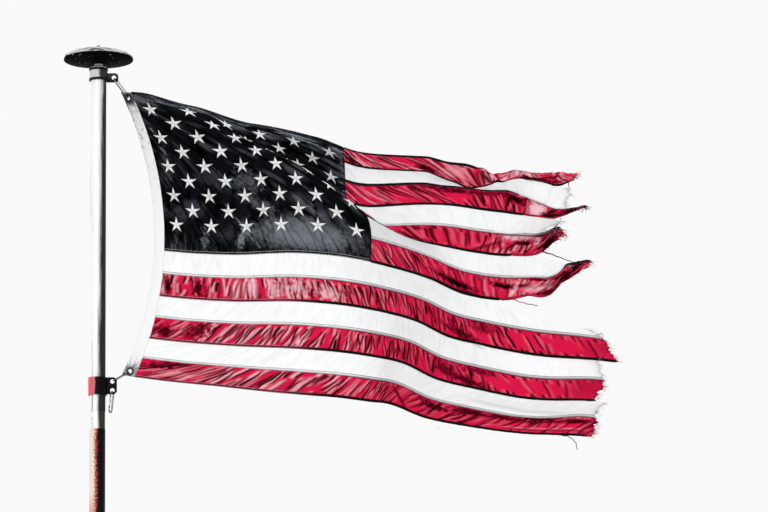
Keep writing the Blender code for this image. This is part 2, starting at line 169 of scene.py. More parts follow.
# --- meshes from arrays ----------------------------------------------------------
def mesh_from(name: str, points: np.ndarray, faces: Sequence[np.ndarray], uv: np.ndarray | None = None,
              tone: np.ndarray | None = None) -> bpy.types.Mesh:
    """A mesh from whole arrays.

    Args:
        name: the mesh's name.
        points: (n, 3) vertex places.
        faces: arrays (m, k) of vertex numbers, one array for each face size k.
        uv: (n, 2) flat place of each vertex in metres, if any.
        tone: (n, 3) crease (painted shade), crest (painted highlight) and soil (soil with some painted shade)
            of each vertex, if any.

    Returns:
        The mesh, smooth shaded.
    """
    mesh = bpy.data.meshes.new(name)
    corners = np.concatenate([f.ravel() for f in faces]).astype(np.int32)
    sizes = np.concatenate([np.full(len(f), f.shape[1]) for f in faces])
    mesh.vertices.add(len(points))
    mesh.vertices.foreach_set("co", np.ascontiguousarray(points, np.float32).ravel())
    mesh.loops.add(len(corners))
    mesh.loops.foreach_set("vertex_index", corners)
    mesh.polygons.add(len(sizes))
    mesh.polygons.foreach_set("loop_start", np.concatenate([[0], np.cumsum(sizes)[:-1]]).astype(np.int32))
    mesh.polygons.foreach_set("use_smooth", np.ones(len(sizes), bool))
    mesh.update(calc_edges=True)
    if uv is not None:
        layer = mesh.uv_layers.new(name="Flat")
        layer.data.foreach_set("uv", np.ascontiguousarray(uv[corners], np.float32).ravel())
    if tone is not None:
        colours = np.ones((len(points), 4), np.float32)
        colours[:, :3] = np.clip(tone, 0, 1)
        mesh.attributes.new("tone", "FLOAT_COLOR", "POINT").data.foreach_set("color", colours.ravel())
    return mesh


def cloth_mesh(name: str, points: np.ndarray, fly: np.ndarray, drop: np.ndarray,
               tone: np.ndarray | None = None) -> bpy.types.Mesh:
    """A mesh over a grid of cloth points, mapped by their flat places."""
    uv = np.stack([fly, drop], -1).reshape(-1, 2)
    tone = None if tone is None else tone.reshape(-1, 3)
    return mesh_from(name, points.reshape(-1, 3), [grid_faces(*fly.shape)], uv, tone)


def grid_faces(rows: int, columns: int, closed: bool = False) -> np.ndarray:
    """Quads (m, 4) of a grid of vertices counted row by row; closed joins the last column to the first."""
    r = np.arange(rows - 1)[:, None]
    c = np.arange(columns if closed else columns - 1)[None, :]
    n = (c + 1) % columns
    a, b = r * columns + c, r * columns + n
    return np.stack([a, a + columns, b + columns, b], -1).reshape(-1, 4)


def tube_mesh(name: str, paths: np.ndarray, radius: np.ndarray | float, sides: int = 6) -> bpy.types.Mesh:
    """Closed tubes along many paths at once.

    A ring of points centre + radius*(cos a * side + sin a * up) stands at each
    path point, side and up being square to the path; the end rings are capped.

    Args:
        name: the mesh's name.
        paths: (n, m, 3) points of n paths.
        radius: one radius, or (n, m) of them.
        sides: corners of the ring.

    Returns:
        The mesh.
    """
    n, m = paths.shape[:2]
    along = unit(np.gradient(paths, axis=1))
    guide = np.where(np.abs(along[..., 1:2]) > 0.9, [[[1.0, 0, 0]]], [[[0, 1.0, 0]]])
    side = unit(np.cross(along, guide))
    up = np.cross(along, side)
    angle = 2 * math.pi * np.arange(sides) / sides
    radius = np.broadcast_to(np.asarray(radius, float), (n, m))[..., None, None]
    rings = paths[:, :, None] + radius * (np.cos(angle)[:, None] * side[:, :, None]
                                          + np.sin(angle)[:, None] * up[:, :, None])
    quads = grid_faces(m, sides, closed=True)
    start = (np.arange(n) * m * sides)[:, None]
    caps = np.stack([np.arange(sides)[::-1], (m - 1) * sides + np.arange(sides)])[::-1]
    every = (start[:, :, None] + quads[None]).reshape(-1, 4)[:, ::-1]
    ends = (start[:, :, None] + caps[None]).reshape(-1, sides)[:, ::-1]
    steps = np.linalg.norm(np.diff(paths, axis=1), axis=-1)
    lengths = np.concatenate([np.zeros((n, 1)), np.cumsum(steps, 1)], 1)
    uv = np.stack(np.broadcast_arrays(lengths[..., None], (angle / 6.2832)[None, None]), -1).reshape(-1, 2)
    return mesh_from(name, rings.reshape(-1, 3), [every, ends], uv=uv)


# --- materials -------------------------------------------------------------------
Colour = Triple = tuple[float, float, float]
Range = tuple[float, float]
Socket = bpy.types.NodeSocket
ALONG_POLE = (1.0, 1.0, 0.03)


class Nodes:
    """Builds one tree of shader nodes, a line at a time."""

    def __init__(self, holder: bpy.types.Material | bpy.types.World) -> None:
        """Starts on the tree of a new material or world."""
        holder.use_nodes = True
        self.tree = holder.node_tree
        self.shader = self.tree.nodes.get("Principled BSDF") or self.tree.nodes["Background"]

    def node(self, kind: str, inputs: dict | None = None, **settings: object) -> bpy.types.Node:
        """Adds a node.

        Args:
            kind: the node's type name, without the Shader and Node it starts with.
            inputs: value or output socket for each named or numbered input.
            settings: properties of the node.

        Returns:
            The node.
        """
        made = self.tree.nodes.new("ShaderNode" + kind)
        for key, value in settings.items():
            setattr(made, key, value)
        for key, value in (inputs or {}).items():
            self.put(made.inputs[key], value)
        return made

    def put(self, socket: Socket, value: object) -> None:
        """Links an output to a socket, or sets its value."""
        if isinstance(value, bpy.types.NodeSocket):
            self.tree.links.new(value, socket)
        elif isinstance(value, tuple) and len(value) == 3 and socket.type == "RGBA":
            socket.default_value = (*value, 1.0)
        else:
            socket.default_value = value

    def math(self, operation: str, a: object, b: object = 0.0) -> Socket:
        """The result of a Math node on a and b."""
        return self.node("Math", {0: a, 1: b}, operation=operation).outputs[0]

    def times(self, a: object, b: object) -> Socket:
        """a * b."""
        return self.math("MULTIPLY", a, b)

    def moved(self, value: object, wander: object, by: float = 1.0) -> Socket:
        """value + wander * by."""
        return self.math("ADD", value, self.times(wander, by))

    def mix(self, share: object, a: object, b: object) -> Socket:
        """Colour a blended into b by share."""
        return self.node("Mix", {0: share, 6: a, 7: b}, data_type="RGBA").outputs[2]

    def between(self, value: object, low: float, high: float, to_low: float = 0.0,
                to_high: float = 1.0) -> Socket:
        """Value stretched smoothly from low..high to to_low..to_high."""
        inputs = dict(enumerate((value, low, high, to_low, to_high)))
        return self.node("MapRange", inputs, interpolation_type="SMOOTHSTEP").outputs[0]

    def noise(self, where: object, scale: float, detail: float = 3.0, rough: float = 0.55,
              stretch: Triple = (1.0, 1.0, 1.0)) -> Socket:
        """Noise 0..1 at a place, drawn out by stretch."""
        spot = self.node("Mapping", {"Vector": where, "Scale": stretch}).outputs[0]
        inputs = {"Vector": spot, "Scale": scale, "Detail": detail, "Roughness": rough}
        return self.node("TexNoise", inputs).outputs[0]

    def ragged(self, *settings: object) -> Socket:
        """The noise of those settings about zero, for breaking up an edge."""
        return self.math("SUBTRACT", self.noise(*settings), 0.5)

    def place(self) -> Socket:
        """Object coordinates, in metres."""
        return self.node("TexCoord").outputs["Object"]

    def flat(self) -> Socket:
        """The piece's own flat map, in metres."""
        return self.node("UVMap", uv_map="Flat").outputs[0]

    def axes(self, where: object) -> list[Socket]:
        """The three numbers of a vector."""
        return list(self.node("SeparateXYZ", {0: where}).outputs)

    def tone(self) -> list[Socket]:
        """Crease (painted shade), crest (painted highlight) and soil (soil with some painted shade) of the
        cloth here.
        """
        read = self.node("Attribute", attribute_name="tone").outputs["Color"]
        return list(self.node("SeparateColor", {0: read}).outputs)[:3]

    def weave(self, pitch: float) -> Socket:
        """Height 0..1 of a plain weave with that pitch: |sin| of the fly plus |sin| of the drop."""
        turns = math.pi / pitch
        warp, weft = (self.math("ABSOLUTE", self.math("SINE", self.times(axis, turns)))
                      for axis in self.axes(self.flat())[:2])
        return self.times(self.math("ADD", warp, weft), 0.5)

    def bump(self, height: object, strength: float, distance: float) -> None:
        """Puts a bump of that height on the shader, over what it has."""
        bump = self.node("Bump", {"Height": height, "Strength": strength, "Distance": distance})
        normal = self.shader.inputs["Normal"]
        if normal.links:
            self.put(bump.inputs["Normal"], normal.links[0].from_socket)
        self.put(normal, bump.outputs[0])

    def surface(self, colour: object, rough: object, **values: object) -> None:
        """Sets the shader's colour, roughness and other inputs, named with _ for each space."""
        for key, value in {"Base_Color": colour, "Roughness": rough, **values}.items():
            self.put(self.shader.inputs[key.replace("_", " ")], value)

    def glow_through(self, share: float, colour: object) -> None:
        """Lets a share of the light behind through, tinted, as thin cloth does."""
        through = self.node("BsdfTranslucent", {"Color": colour})
        self.end_in("Material Output", share, through)

    def end_in(self, output: str, share: object, other: bpy.types.Node) -> None:
        """Sends the shader, with a share of it given over to another, to the tree's output."""
        both = self.node("MixShader", {0: share, 1: self.shader.outputs[0], 2: other.outputs[0]})
        self.put(self.tree.nodes[output].inputs["Surface"], both.outputs[0])


@dataclass(frozen=True)
class Finish:
    """What a surface is finished in; each kind writes its own nodes."""

    name: str
    colour: Colour

    def material(self) -> bpy.types.Material:
        """The finish's material, made once."""
        made = bpy.data.materials.get("of_" + self.name)
        if made is None:
            made = bpy.data.materials.new("of_" + self.name)
            self.write(Nodes(made))
        return made

    def write(self, nodes: Nodes) -> None:
        """Writes the nodes of this finish."""
        raise NotImplementedError(self.name)


@dataclass(frozen=True)
class SewnNylon(Finish):
    """Flag nylon: painted shade in its creases, a painted highlight on its crests, soiled at its edges."""

    deep: Colour
    crest_highlight: Colour
    soil_and_shade_colour: Colour
    rough: float = 0.42
    through: float = 0.0
    mottle: float = 0.12
    gloss: float = 0.0
    pitch: float = 0.0011

    def write(self, nodes: Nodes) -> None:
        """Colour from the crease's painted shade, the crest's painted highlight and soil over a mottled
        ground; weave in the bump.
        """
        crease, crest, soil_and_shade = nodes.tone()
        patches = nodes.noise(nodes.place(), 9.0, 4.0)
        ground = nodes.mix(nodes.between(patches, 0.3, 0.7, 0.0, self.mottle), self.colour, self.deep)
        for share, colour in ((crest, self.crest_highlight), (soil_and_shade, self.soil_and_shade_colour), (crease, self.deep)):
            ground = nodes.mix(share, ground, colour)
        nodes.surface(ground, nodes.between(patches, 0.2, 0.8, self.rough - 0.06, self.rough + 0.08),
                      Specular_IOR_Level=self.gloss)
        nodes.bump(nodes.weave(self.pitch), 0.12, 0.0004)
        nodes.bump(nodes.noise(nodes.flat(), 260.0, 2.0), 0.10, 0.0006)
        if self.through:
            nodes.glow_through(self.through, ground)


@dataclass(frozen=True)
class Canvas(Finish):
    """Heavy heading canvas, soiled and painted with shade where the tone says."""

    soil_and_shade_colour: Colour
    deep: Colour = (0.02, 0.02, 0.022)
    pitch: float = 0.0014

    def write(self, nodes: Nodes) -> None:
        """Soil and painted shade broken up by noise over the canvas, painted shade in the creases; a coarse
        weave in the bump.
        """
        crease, _, soil_and_shade = nodes.tone()
        specks = nodes.noise(nodes.place(), 60.0, 5.0, 0.65)
        grime_and_shade = nodes.times(soil_and_shade, nodes.between(specks, 0.25, 0.65, 0.35, 1.0))
        ground = nodes.mix(crease, nodes.mix(grime_and_shade, self.colour, self.soil_and_shade_colour), self.deep)
        nodes.surface(ground, 0.85, Sheen_Weight=0.1)
        nodes.bump(nodes.weave(self.pitch), 0.35, 0.0006)


@dataclass(frozen=True)
class Thread(Finish):
    """Sewing thread or loose yarn: a twist of fibres, a little uneven in colour."""

    faded: Colour
    gloss: float = 0.3
    dark_from: float = 9.0
    dark: Colour = (0.006, 0.003, 0.004)
    dark_over: float = 0.12

    def write(self, nodes: Nodes) -> None:
        """Two shades by noise, painted shade past X = dark_from, twist lines in the bump."""
        place = nodes.place()
        ground = nodes.mix(nodes.between(nodes.noise(place, 55.0), 0.35, 0.65), self.colour, self.faded)
        dark = nodes.between(nodes.axes(place)[0], self.dark_from, self.dark_from + self.dark_over)
        nodes.surface(nodes.mix(dark, ground, self.dark), 0.7, Specular_IOR_Level=self.gloss)
        nodes.bump(nodes.noise(place, 1500.0, 1.0), 0.2, 0.0002)


@dataclass(frozen=True)
class WornMetal(Finish):
    """Weathered metal: grime in patches, long rain streaks where asked, and painted shade on one side."""

    grime_and_shade_colour: Colour
    metallic: float = 0.9
    rough: float = 0.35
    grimy: float = 0.4
    streaks: float = 0.0
    side: float = 9.0
    fade: float = 0.010
    lean: float = 0.0

    def write(self, nodes: Nodes) -> None:
        """Grime by two noises, one drawn out along Z, and nothing but the dark colour past X = side + lean *
        Z, as painted shade.
        """
        place = nodes.place()
        patches = nodes.noise(place, 120.0, 5.0, 0.65)
        runs = nodes.noise(place, 90.0, 4.0, 0.6, ALONG_POLE)
        grime_and_shade = nodes.between(nodes.mix(self.streaks, patches, runs), 0.62 - 0.25 * self.grimy,
                             0.80 - 0.15 * self.grimy)
        x, _, z = nodes.axes(place)
        streaked = nodes.ragged(place, 210.0, 4.0, 0.6, (1.0, 1.0, 0.05))
        bent = nodes.moved(nodes.moved(x, z, -self.lean), streaked, 0.018)
        # past X = side + lean * Z the metal is painted dark as shade, away from the key light
        grime_and_shade = nodes.math("MAXIMUM", grime_and_shade, nodes.between(bent, self.side, self.side + self.fade))
        nodes.surface(nodes.mix(grime_and_shade, self.colour, self.grime_and_shade_colour), nodes.moved(self.rough, grime_and_shade, 0.35),
                      Metallic=self.metallic)
        nodes.bump(runs if self.streaks else patches, 0.15, 0.0008)


@dataclass(frozen=True)
class PatchedPaint(Finish):
    """Old paint on the pole, painted near black as shade on one side of it."""

    # under: the near-black painted shade on the pole's side away from the key light
    under: Colour
    side: Range
    primer: Colour = (0.56, 0.085, 0.075)
    primer_band: Range = (0.0062, 0.0044)
    salmon: Colour = (0.70, 0.42, 0.32)
    salmon_below: float = 0.09

    def write(self, nodes: Nodes) -> None:
        """Past side in X, broken by noise, the under colour as painted shade; before it a band of primer;
        salmon low down.
        """
        place = nodes.place()
        x, _, z = nodes.axes(place)
        ragged = nodes.ragged(place, 70.0, 5.0, 0.7, (1.0, 1.0, 0.35))
        where = nodes.moved(nodes.moved(x, ragged, 0.010), nodes.ragged(place, 330.0, 3.0, 0.6), 0.034)
        shaded_side = nodes.between(where, *self.side)
        primer = nodes.between(where, *(self.side[0] - before for before in self.primer_band))
        low = nodes.between(nodes.moved(z, ragged, 0.05), self.salmon_below + 0.03, self.salmon_below - 0.05)
        ground = nodes.mix(nodes.between(nodes.noise(place, 35.0, 4.0), 0.35, 0.7, 0.0, 0.25), self.colour,
                           tuple(0.85 * c for c in self.colour))
        ground = nodes.mix(primer, nodes.mix(low, ground, self.salmon), self.primer)
        nodes.surface(nodes.mix(shaded_side, ground, self.under), 0.55, Specular_IOR_Level=0.08)
        nodes.bump(shaded_side, 0.4, 0.0006)


@dataclass(frozen=True)
class RedBracket(Finish):
    """The lower bracket: red paint on its lit side and painted shade on its far side, chipped along their
    line.
    """

    black: Colour = (0.0035, 0.0035, 0.0038)
    chipped: Colour = (0.3, 0.28, 0.27)

    def write(self, nodes: Nodes) -> None:
        """Red where X is left of a ragged line and painted shade right of it, with scratches showing metal.
        """
        place = nodes.place()
        ragged = nodes.ragged(place, 90.0, 5.0, 0.7)
        red = nodes.between(nodes.moved(nodes.axes(place)[0], ragged, 0.008), -0.0045, -0.0065)
        chips = nodes.between(nodes.noise(place, 150.0, 6.0, 0.7), 0.66, 0.70)
        ground = nodes.mix(red, self.black, self.colour)
        nodes.surface(nodes.mix(nodes.times(chips, 0.5), ground, self.chipped), 0.5, Specular_IOR_Level=0.06)
        nodes.bump(ragged, 0.25, 0.0005)


@dataclass(frozen=True)
class BandedRing(Finish):
    """The top ring: dark lips, and between them a band, pale on the left and painted dark as shade on the
    right.
    """

    band: Range
    side: float
    dark: Colour = (0.006, 0.006, 0.006)
    right_shade: Colour = (0.035, 0.035, 0.035)
    blur: float = 0.0008

    def write(self, nodes: Nodes) -> None:
        """Band by Z; pale before X = side and painted shade past it, with a noisy edge."""
        place = nodes.place()
        x, _, z = nodes.axes(place)
        ragged = nodes.ragged(place, 120.0, 4.0, 0.65)
        inside = nodes.times(nodes.between(z, self.band[0] - self.blur, self.band[0] + self.blur),
                             nodes.between(z, self.band[1] + self.blur, self.band[1] - self.blur))
        ground = nodes.mix(nodes.between(nodes.moved(x, ragged, 0.008), self.side - 0.005, self.side + 0.004),
                           self.colour, self.right_shade)
        nodes.surface(nodes.mix(inside, self.dark, ground), 0.5, Specular_IOR_Level=0.1)
        nodes.bump(ragged, 0.3, 0.0005)


@dataclass(frozen=True)
class CapPlastic(Finish):
    """The cap: black under its rim as painted shade, a pale dome with rain stains over it."""

    pale: Colour = (0.55, 0.54, 0.52)
    stained: Colour = (0.05, 0.048, 0.045)
    fleck: Colour = (0.5, 0.5, 0.48)
    rim: float = 1.3725

    def write(self, nodes: Nodes) -> None:
        """Pale above the rim height with dark rain streaks; painted shade below, with pale flecks."""
        place = nodes.place()
        height = nodes.moved(nodes.axes(place)[2], nodes.ragged(place, 60.0, 4.0, 0.65), 0.004)
        stains = nodes.between(nodes.noise(place, 45.0, 6.0, 0.7, (0.35, 1.0, 1.0)), 0.48, 0.62)
        flecks = nodes.between(nodes.noise(place, 105.0, 1.0, 0.3), 0.735, 0.76)
        above = nodes.between(height, self.rim - 0.0005, self.rim + 0.0015)
        nodes.surface(nodes.mix(above, nodes.mix(flecks, self.colour, self.fleck),
                                nodes.mix(stains, self.pale, self.stained)), 0.7, Specular_IOR_Level=0.02)
        nodes.bump(stains, 0.2, 0.0006)


def grey(level: float) -> Colour:
    """A neutral colour."""
    return level, level, level


NYLON_RED = SewnNylon("nylon_red", (0.80, 0.012, 0.075), (0.005, 0.0, 0.0008), (0.94, 0.60, 0.67),
                      (0.16, 0.006, 0.014), through=0.16)
NYLON_WHITE = SewnNylon("nylon_white", (0.905, 0.905, 0.903), (0.60, 0.60, 0.61), grey(0.92),
                        (0.60, 0.60, 0.61), mottle=0.01, through=0.45, gloss=0.2)
NYLON_BLUE = SewnNylon("nylon_blue", (0.0048, 0.0062, 0.0070), (0.0004, 0.0005, 0.0006),
                       (0.175, 0.190, 0.210), (0.003, 0.003, 0.004), rough=0.5)
STAR_WHITE = SewnNylon("star_white", (0.90, 0.90, 0.89), (0.20, 0.21, 0.22), (0.97, 0.97, 0.96),
                       (0.36, 0.35, 0.33), rough=0.6, mottle=0.05, gloss=0.15)
CANVAS = Canvas("canvas", (0.94, 0.94, 0.935), grey(0.34))
# SEAM_DARK and SEAM_BLACK paint the doubled cloth of seams and hems dark as shade
SEAM_DARK = Thread("seam_dark", (0.17, 0.008, 0.028), (0.050, 0.004, 0.011), 0.05, 0.55)
SEAM_BLACK = Thread("seam_black", (0.003, 0.0022, 0.0026), (0.008, 0.005, 0.006), 0.05)
SEAM_GREY = Thread("seam_grey", (0.70, 0.70, 0.71), (0.78, 0.78, 0.79), 0.1, 0.70, (0.52, 0.52, 0.53))
SEAM_TORN = Thread("seam_torn", (0.55, 0.55, 0.56), (0.66, 0.66, 0.67), 0.1, 1.22)
SEAM_RED = Thread("seam_red", (0.62, 0.012, 0.060), (0.26, 0.006, 0.024), 0.05)
STITCH_PALE = Thread("stitch_pale", (0.80, 0.79, 0.78), grey(0.55))
STITCH_DARK = Thread("stitch_dark", (0.012, 0.008, 0.010), (0.08, 0.07, 0.07))
STITCH_PINK = Thread("stitch_pink", (0.74, 0.34, 0.42), (0.86, 0.62, 0.67), 0.1, 0.52)
YARN_RED = Thread("yarn_red", (0.72, 0.014, 0.065), (0.10, 0.004, 0.012))
# YARN_DARK is painted shade: loose yarns and torn hem strips of the red stripes painted near black
YARN_DARK = Thread("yarn_dark", (0.016, 0.003, 0.006), (0.060, 0.006, 0.014))
YARN_WHITE = Thread("yarn_white", (0.75, 0.74, 0.73), (0.35, 0.33, 0.32))
BRASS = WornMetal("old_brass", (0.030, 0.027, 0.022), (0.006, 0.005, 0.005), 0.6, 0.45, 0.8)
STEEL = WornMetal("steel_wire", (0.20, 0.20, 0.205), grey(0.006), 0.9, 0.30, 0.8)
GATE = WornMetal("gate_steel", grey(0.78), grey(0.03), 0.1, 0.45, 0.2)
# TUBE and COUPLING are painted dark as shade past their side in X, on the pole's side away from the key
# light.
TUBE = WornMetal("pole_tube", grey(0.93), grey(0.008), 0.05, 0.50, 0.10, 1.0, -0.009, 0.015, 0.010)
COUPLING = WornMetal("coupling", (0.92, 0.92, 0.91), (0.030, 0.022, 0.017), 0.1, 0.50, 0.25, 0.6, -0.002)
# CREAM's under colour is painted shade on the lower pole's far side.
CREAM = PatchedPaint("cream_paint", (0.84, 0.78, 0.67), (0.0035, 0.0028, 0.0035), (-0.002, 0.0015))
# BRACKET is painted near black as shade right of its red side.
BRACKET = RedBracket("red_bracket", (0.72, 0.130, 0.155))
# CAP's near-black colour is painted shade under its rim.
CAP = CapPlastic("cap_plastic", grey(0.0012))
# RING's band is painted dark as shade past X = side.
RING = BandedRing("ring_banded", (0.72, 0.71, 0.69), band=(1.3140, 1.3360), side=0.0045)
RING_PALE = WornMetal("ring_pale", (0.62, 0.61, 0.59), (0.10, 0.09, 0.08), 0.3, 0.45, 0.5)


def place_piece(name: str, mesh: bpy.types.Mesh, finish: Finish, slot: str, *, stands_for: str | None = None,
                thick: float = 0.0) -> bpy.types.Object:
    """Stands a finished mesh in the scene on the one body.

    Args:
        name: the piece's name.
        mesh: its mesh, in the frame's metres.
        finish: what it is finished in.
        slot: the record's material slot; not used.
        stands_for: the CAD node that it is shown instead of, if any.
        thick: wall given to a sheet about its middle, in metres.

    Returns:
        The object.
    """
    piece = in_scene(name, mesh)
    mesh.materials.append(finish.material())
    if thick:
        wall = piece.modifiers.new("thickness", "SOLIDIFY")
        wall.thickness, wall.offset = thick, 0.0
    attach(piece, BODY)
    if stands_for:
        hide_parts(stands_for)
    LOG.info("%s: %d vertices", name, len(mesh.vertices))
    return piece


def in_scene(name: str, data: bpy.types.ID) -> bpy.types.Object:
    """A new object that holds data, linked into the scene."""
    made = bpy.data.objects.new(name, data)
    bpy.context.scene.collection.objects.link(made)
    return made


# --- the flag laid flat -----------------------------------------------------------
@dataclass(frozen=True)
class FlagPattern:
    """Flat sizes of the sewn flag, in metres."""

    hoist: float = 0.9144
    stripes: int = 13
    canton_width: float = 0.63
    canton_stripes: int = 7
    heading_width: float = 0.032
    cloth_thick: float = 0.0008
    heading_thick: float = 0.0020
    seam_gap: float = 0.0002
    eye_fly: float = -0.0165

    @property
    def eye_drops(self) -> tuple[float, float]:
        """Drops of the heading's two eyes."""
        return 0.020, self.hoist - 0.018

    @property
    def stripe(self) -> float:
        """Height of one stripe."""
        return self.hoist / self.stripes

    def start(self, stripe: int) -> float:
        """Fly distance at which a stripe begins."""
        return self.canton_width if stripe <= self.canton_stripes else 0.0


@dataclass(frozen=True)
class Section:
    """The cloth's shape on one line up the flag, at a flat distance fly from the heading.

    x, y, z place the eighth seam there. lean slants the hoist threads, with
    top_bow and foot_bow more at the two hems and knee more beside the long
    fold. back, front and foot tip the cloth towards -Y above the long fold,
    under it and at the bottom hem.
    gather is the share of its height that the bottom hem loses in puckers.
    """

    fly: float
    x: float
    y: float
    z: float
    lean: float
    top_bow: float
    knee: float
    foot_bow: float
    back: float
    front: float
    foot: float
    gather: float


@dataclass(frozen=True)
class Fold:
    """A fold between two flat points, tipping the cloth by tilt degrees."""

    from_fly: float
    from_drop: float
    to_fly: float
    to_drop: float
    reach: float
    tilt: float
    grow: float
    fade: float

    def line(self, fly: np.ndarray) -> np.ndarray:
        """Drop of the fold's crest at each fly."""
        share = (fly - self.from_fly) / (self.to_fly - self.from_fly)
        return self.from_drop + share * (self.to_drop - self.from_drop)

    @property
    def turn(self) -> float:
        """Angle of the crest from the fly, in radians."""
        return math.atan2(self.to_drop - self.from_drop, self.to_fly - self.from_fly)

    def size(self, fly: np.ndarray, drop: np.ndarray) -> np.ndarray:
        """Tilt here, in degrees: it swells past from_fly, fades before to_fly and dies off past reach."""
        ends = eased((fly - self.from_fly) / self.grow) * eased((self.to_fly - fly) / self.fade)
        return self.tilt * ends * bell(drop - self.line(fly), self.reach)


@dataclass(frozen=True)
class Streamer:
    """Stripes first to last, hanging together past loose; lift, sway and twist are reached at end."""

    first: int
    last: int
    loose: float
    end: float
    lift: float
    sway: float
    twist: float


@dataclass(frozen=True)
class Tail:
    """Where the wind has put a loose stripe at one fly, over what its streamer gives it.

    lift moves it along Z; roll turns it by degrees about its line at the
    share `about` down, and narrow gathers it to that line.
    """

    fly: float
    lift: float
    roll: float
    about: float
    narrow: float


@dataclass(frozen=True)
class Reach:
    """Flat fly length left at a stripe's top and bottom, swollen by bulge half way down.

    torn is the share of its upper edge lost past torn_from.
    """

    top: float
    bottom: float
    bulge: float = 0.0
    torn_from: float = 1.3
    torn: float = 0.0


SECTIONS = table(
    Section,
    (0, 0.186, -0.02, 0.736, 0, 25, 0, 25, 8, 2, -4, 0.18),
    (0.07, 0.251, -0.045, 0.724, 0, 25, 0, 20, 20, 0, -6, 0.19),
    (0.21, 0.381, -0.095, 0.706, -1, 20, 2, 10, 20, -5, -8, 0.19),
    (0.44, 0.593, -0.16, 0.693, -1, 13, 10, 4, 26, -4, 8, 0.06),
    (0.55, 0.703, -0.175, 0.679, -1, 6, 26, 3, 24, 0, 14, 0.03),
    (0.68, 0.819, -0.14, 0.662, -6, 7, 38, 3, 18, 10, 18, 0),
    (0.82, 0.933, -0.07, 0.64, -15, 7, 16, 2, 18, 14, 24, 0),
    (0.92, 1.018, -0.025, 0.607, -15, 2, 2, 0, 16, 10, 32, 0),
    (1.01, 1.104, 0, 0.59, -11, 0, 0, 0, 16, 8, 38, 0),
    (1.14, 1.232, 0.01, 0.566, -9, 0, 0, 0, 18, 6, 48, 0),
    (1.28, 1.36, -0.02, 0.544, -9, 0, 0, 0, 22, 6, 56, 0),
    (1.42, 1.486, -0.07, 0.514, -9, 0, 0, 0, 22, 6, 60, 0),
)
LONG_FOLD = Fold(0.03, 0.014, 1.02, 0.467, 0.056, 65, 0.33, 0.38)
FOLDS = (LONG_FOLD, *table(
    Fold,
    (0.55, 0.06, 1.3, 0.12, 0.06, 36, 0.26, 0.15), (0, 0, 0.8, 0, 0.045, 30, 0.16, 0.22),
    (0.84, 0.03, 1.04, 0.04, 0.034, -40, 0.09, 0.09), (0.84, 0.11, 1.05, 0.11, 0.042, 42, 0.09, 0.09),
    (1.01, 0.04, 1.3, 0.05, 0.03, 26, 0.1, 0.05), (1.02, 0.115, 1.3, 0.12, 0.045, -36, 0.12, 0.05),
))
STREAMERS = table(
    Streamer,
    (1, 2, 0.94, 1.24, 0.010, 0.035, -5), (3, 4, 0.96, 1.24, 0.018, -0.035, -40),
    (5, 6, 0.98, 1.24, 0.058, 0.020, -12), (7, 7, 0.98, 1.32, 0.085, -0.035, 30),
    (8, 13, 1.20, 1.42, 0.000, -0.020, 0),
)
TAILS = {
    1: table(Tail,
        (0.79, 0, 0, 1, 0), (0.85, 0, 14, 1, 0), (0.88, 0, 27, 1, 0), (0.91, 0, -15, 1, 0),
        (0.93, 0, -40, 1, 0), (0.955, 0, -46, 1, 0), (1, 0, -40, 1, 0), (1.045, 0, -26, 1, 0),
        (1.09, 0, -12, 1, 0), (1.13, 0, -2, 1, 0), (1.17, 0.006, 8, 1, 0), (1.21, 0.016, 0, 1, 0.2)),
    2: table(Tail,
        (0.79, 0, 0, 1, 0), (0.85, 0, -18, 1, 0), (0.88, 0, -17, 1, 0), (0.91, 0, 5, 1, 0),
        (0.955, 0, 20, 1, 0), (1, 0, 19, 1, 0), (1.09, 0, 13, 1, 0), (1.13, 0, 15, 1, 0), (1.2, 0, 15, 1, 0)),
    3: table(Tail,
        (0.79, 0, 0, 1, 0), (0.83, 0, -8, 1, 0), (0.88, 0, -4, 1, 0), (0.94, 0, 8, 1, 0), (1, 0, 13, 1, 0),
        (1.06, 0, 5, 1, 0), (1.12, 0, 0, 1, 0), (1.16, 0, 0, 0.5, 0), (1.2, 0.012, 0, 0.5, 0.35),
        (1.235, 0.028, 0, 0.5, 0.65), (1.27, 0.042, 0, 0.5, 0.75)),
    5: table(Tail,
        (1.06, 0, 0, 0.5, 0), (1.12, -0.003, 0, 0.5, 0), (1.15, 0.002, 0, 0.5, 0), (1.2, 0.0195, 0, 0.5, 0)),
    6: table(Tail,
        (1, 0, 0, 0, 0), (1.06, 0, 10, 0, 0), (1.1, -0.001, 18, 0, 0), (1.14, -0.006, 23, 0, 0.05),
        (1.18, -0.021, 23, 0, 0.22), (1.205, -0.029, 22, 0, 0.5), (1.23, -0.034, 20, 0, 0.95)),
    7: table(Tail,
        (1, 0, 0, 0, 0), (1.06, 0, -3, 0, 0), (1.1, 0, -14, 0, 0), (1.14, 0, -27, 0, 0),
        (1.18, 0, -27, 0, 0), (1.22, 0, -24, 0, 0), (1.26, 0.012, -15, 0, 0.1), (1.3, 0.024, -10, 0, 0.2)),
    11: table(Tail,
        (1.1, 0, 0, 0, 0), (1.25, 0.005, -2, 0, 0), (1.37, 0.012, -4, 0, 0)),
    12: table(Tail,
        (1.1, 0, 0, 0, 0), (1.25, 0, -4, 0, 0), (1.37, 0, -13, 0, 0)),
    13: table(Tail,
        (1.1, 0, 0, 0, 0), (1.25, 0, 7, 0, 0), (1.37, 0, 22, 0, 0)),
}
CARRIED = {1: 2, 2: 3, 7: 6, 12: 11, 13: 12}
REACHES = table(
    Reach,
    (1.225, 1.21, 0.00, 1.04, 0.22), (1.20, 1.21), (1.265, 1.22), (1.20, 1.125), (1.20, 1.15, 0.030),
    (1.23, 1.23), (1.31, 1.195, 0.015), (1.32, 1.36, 0.00, 0.95, 0.65), (1.37, 1.41), (1.36, 1.38),
    (1.39, 1.37), (1.40, 1.37), (1.39, 1.37),
)


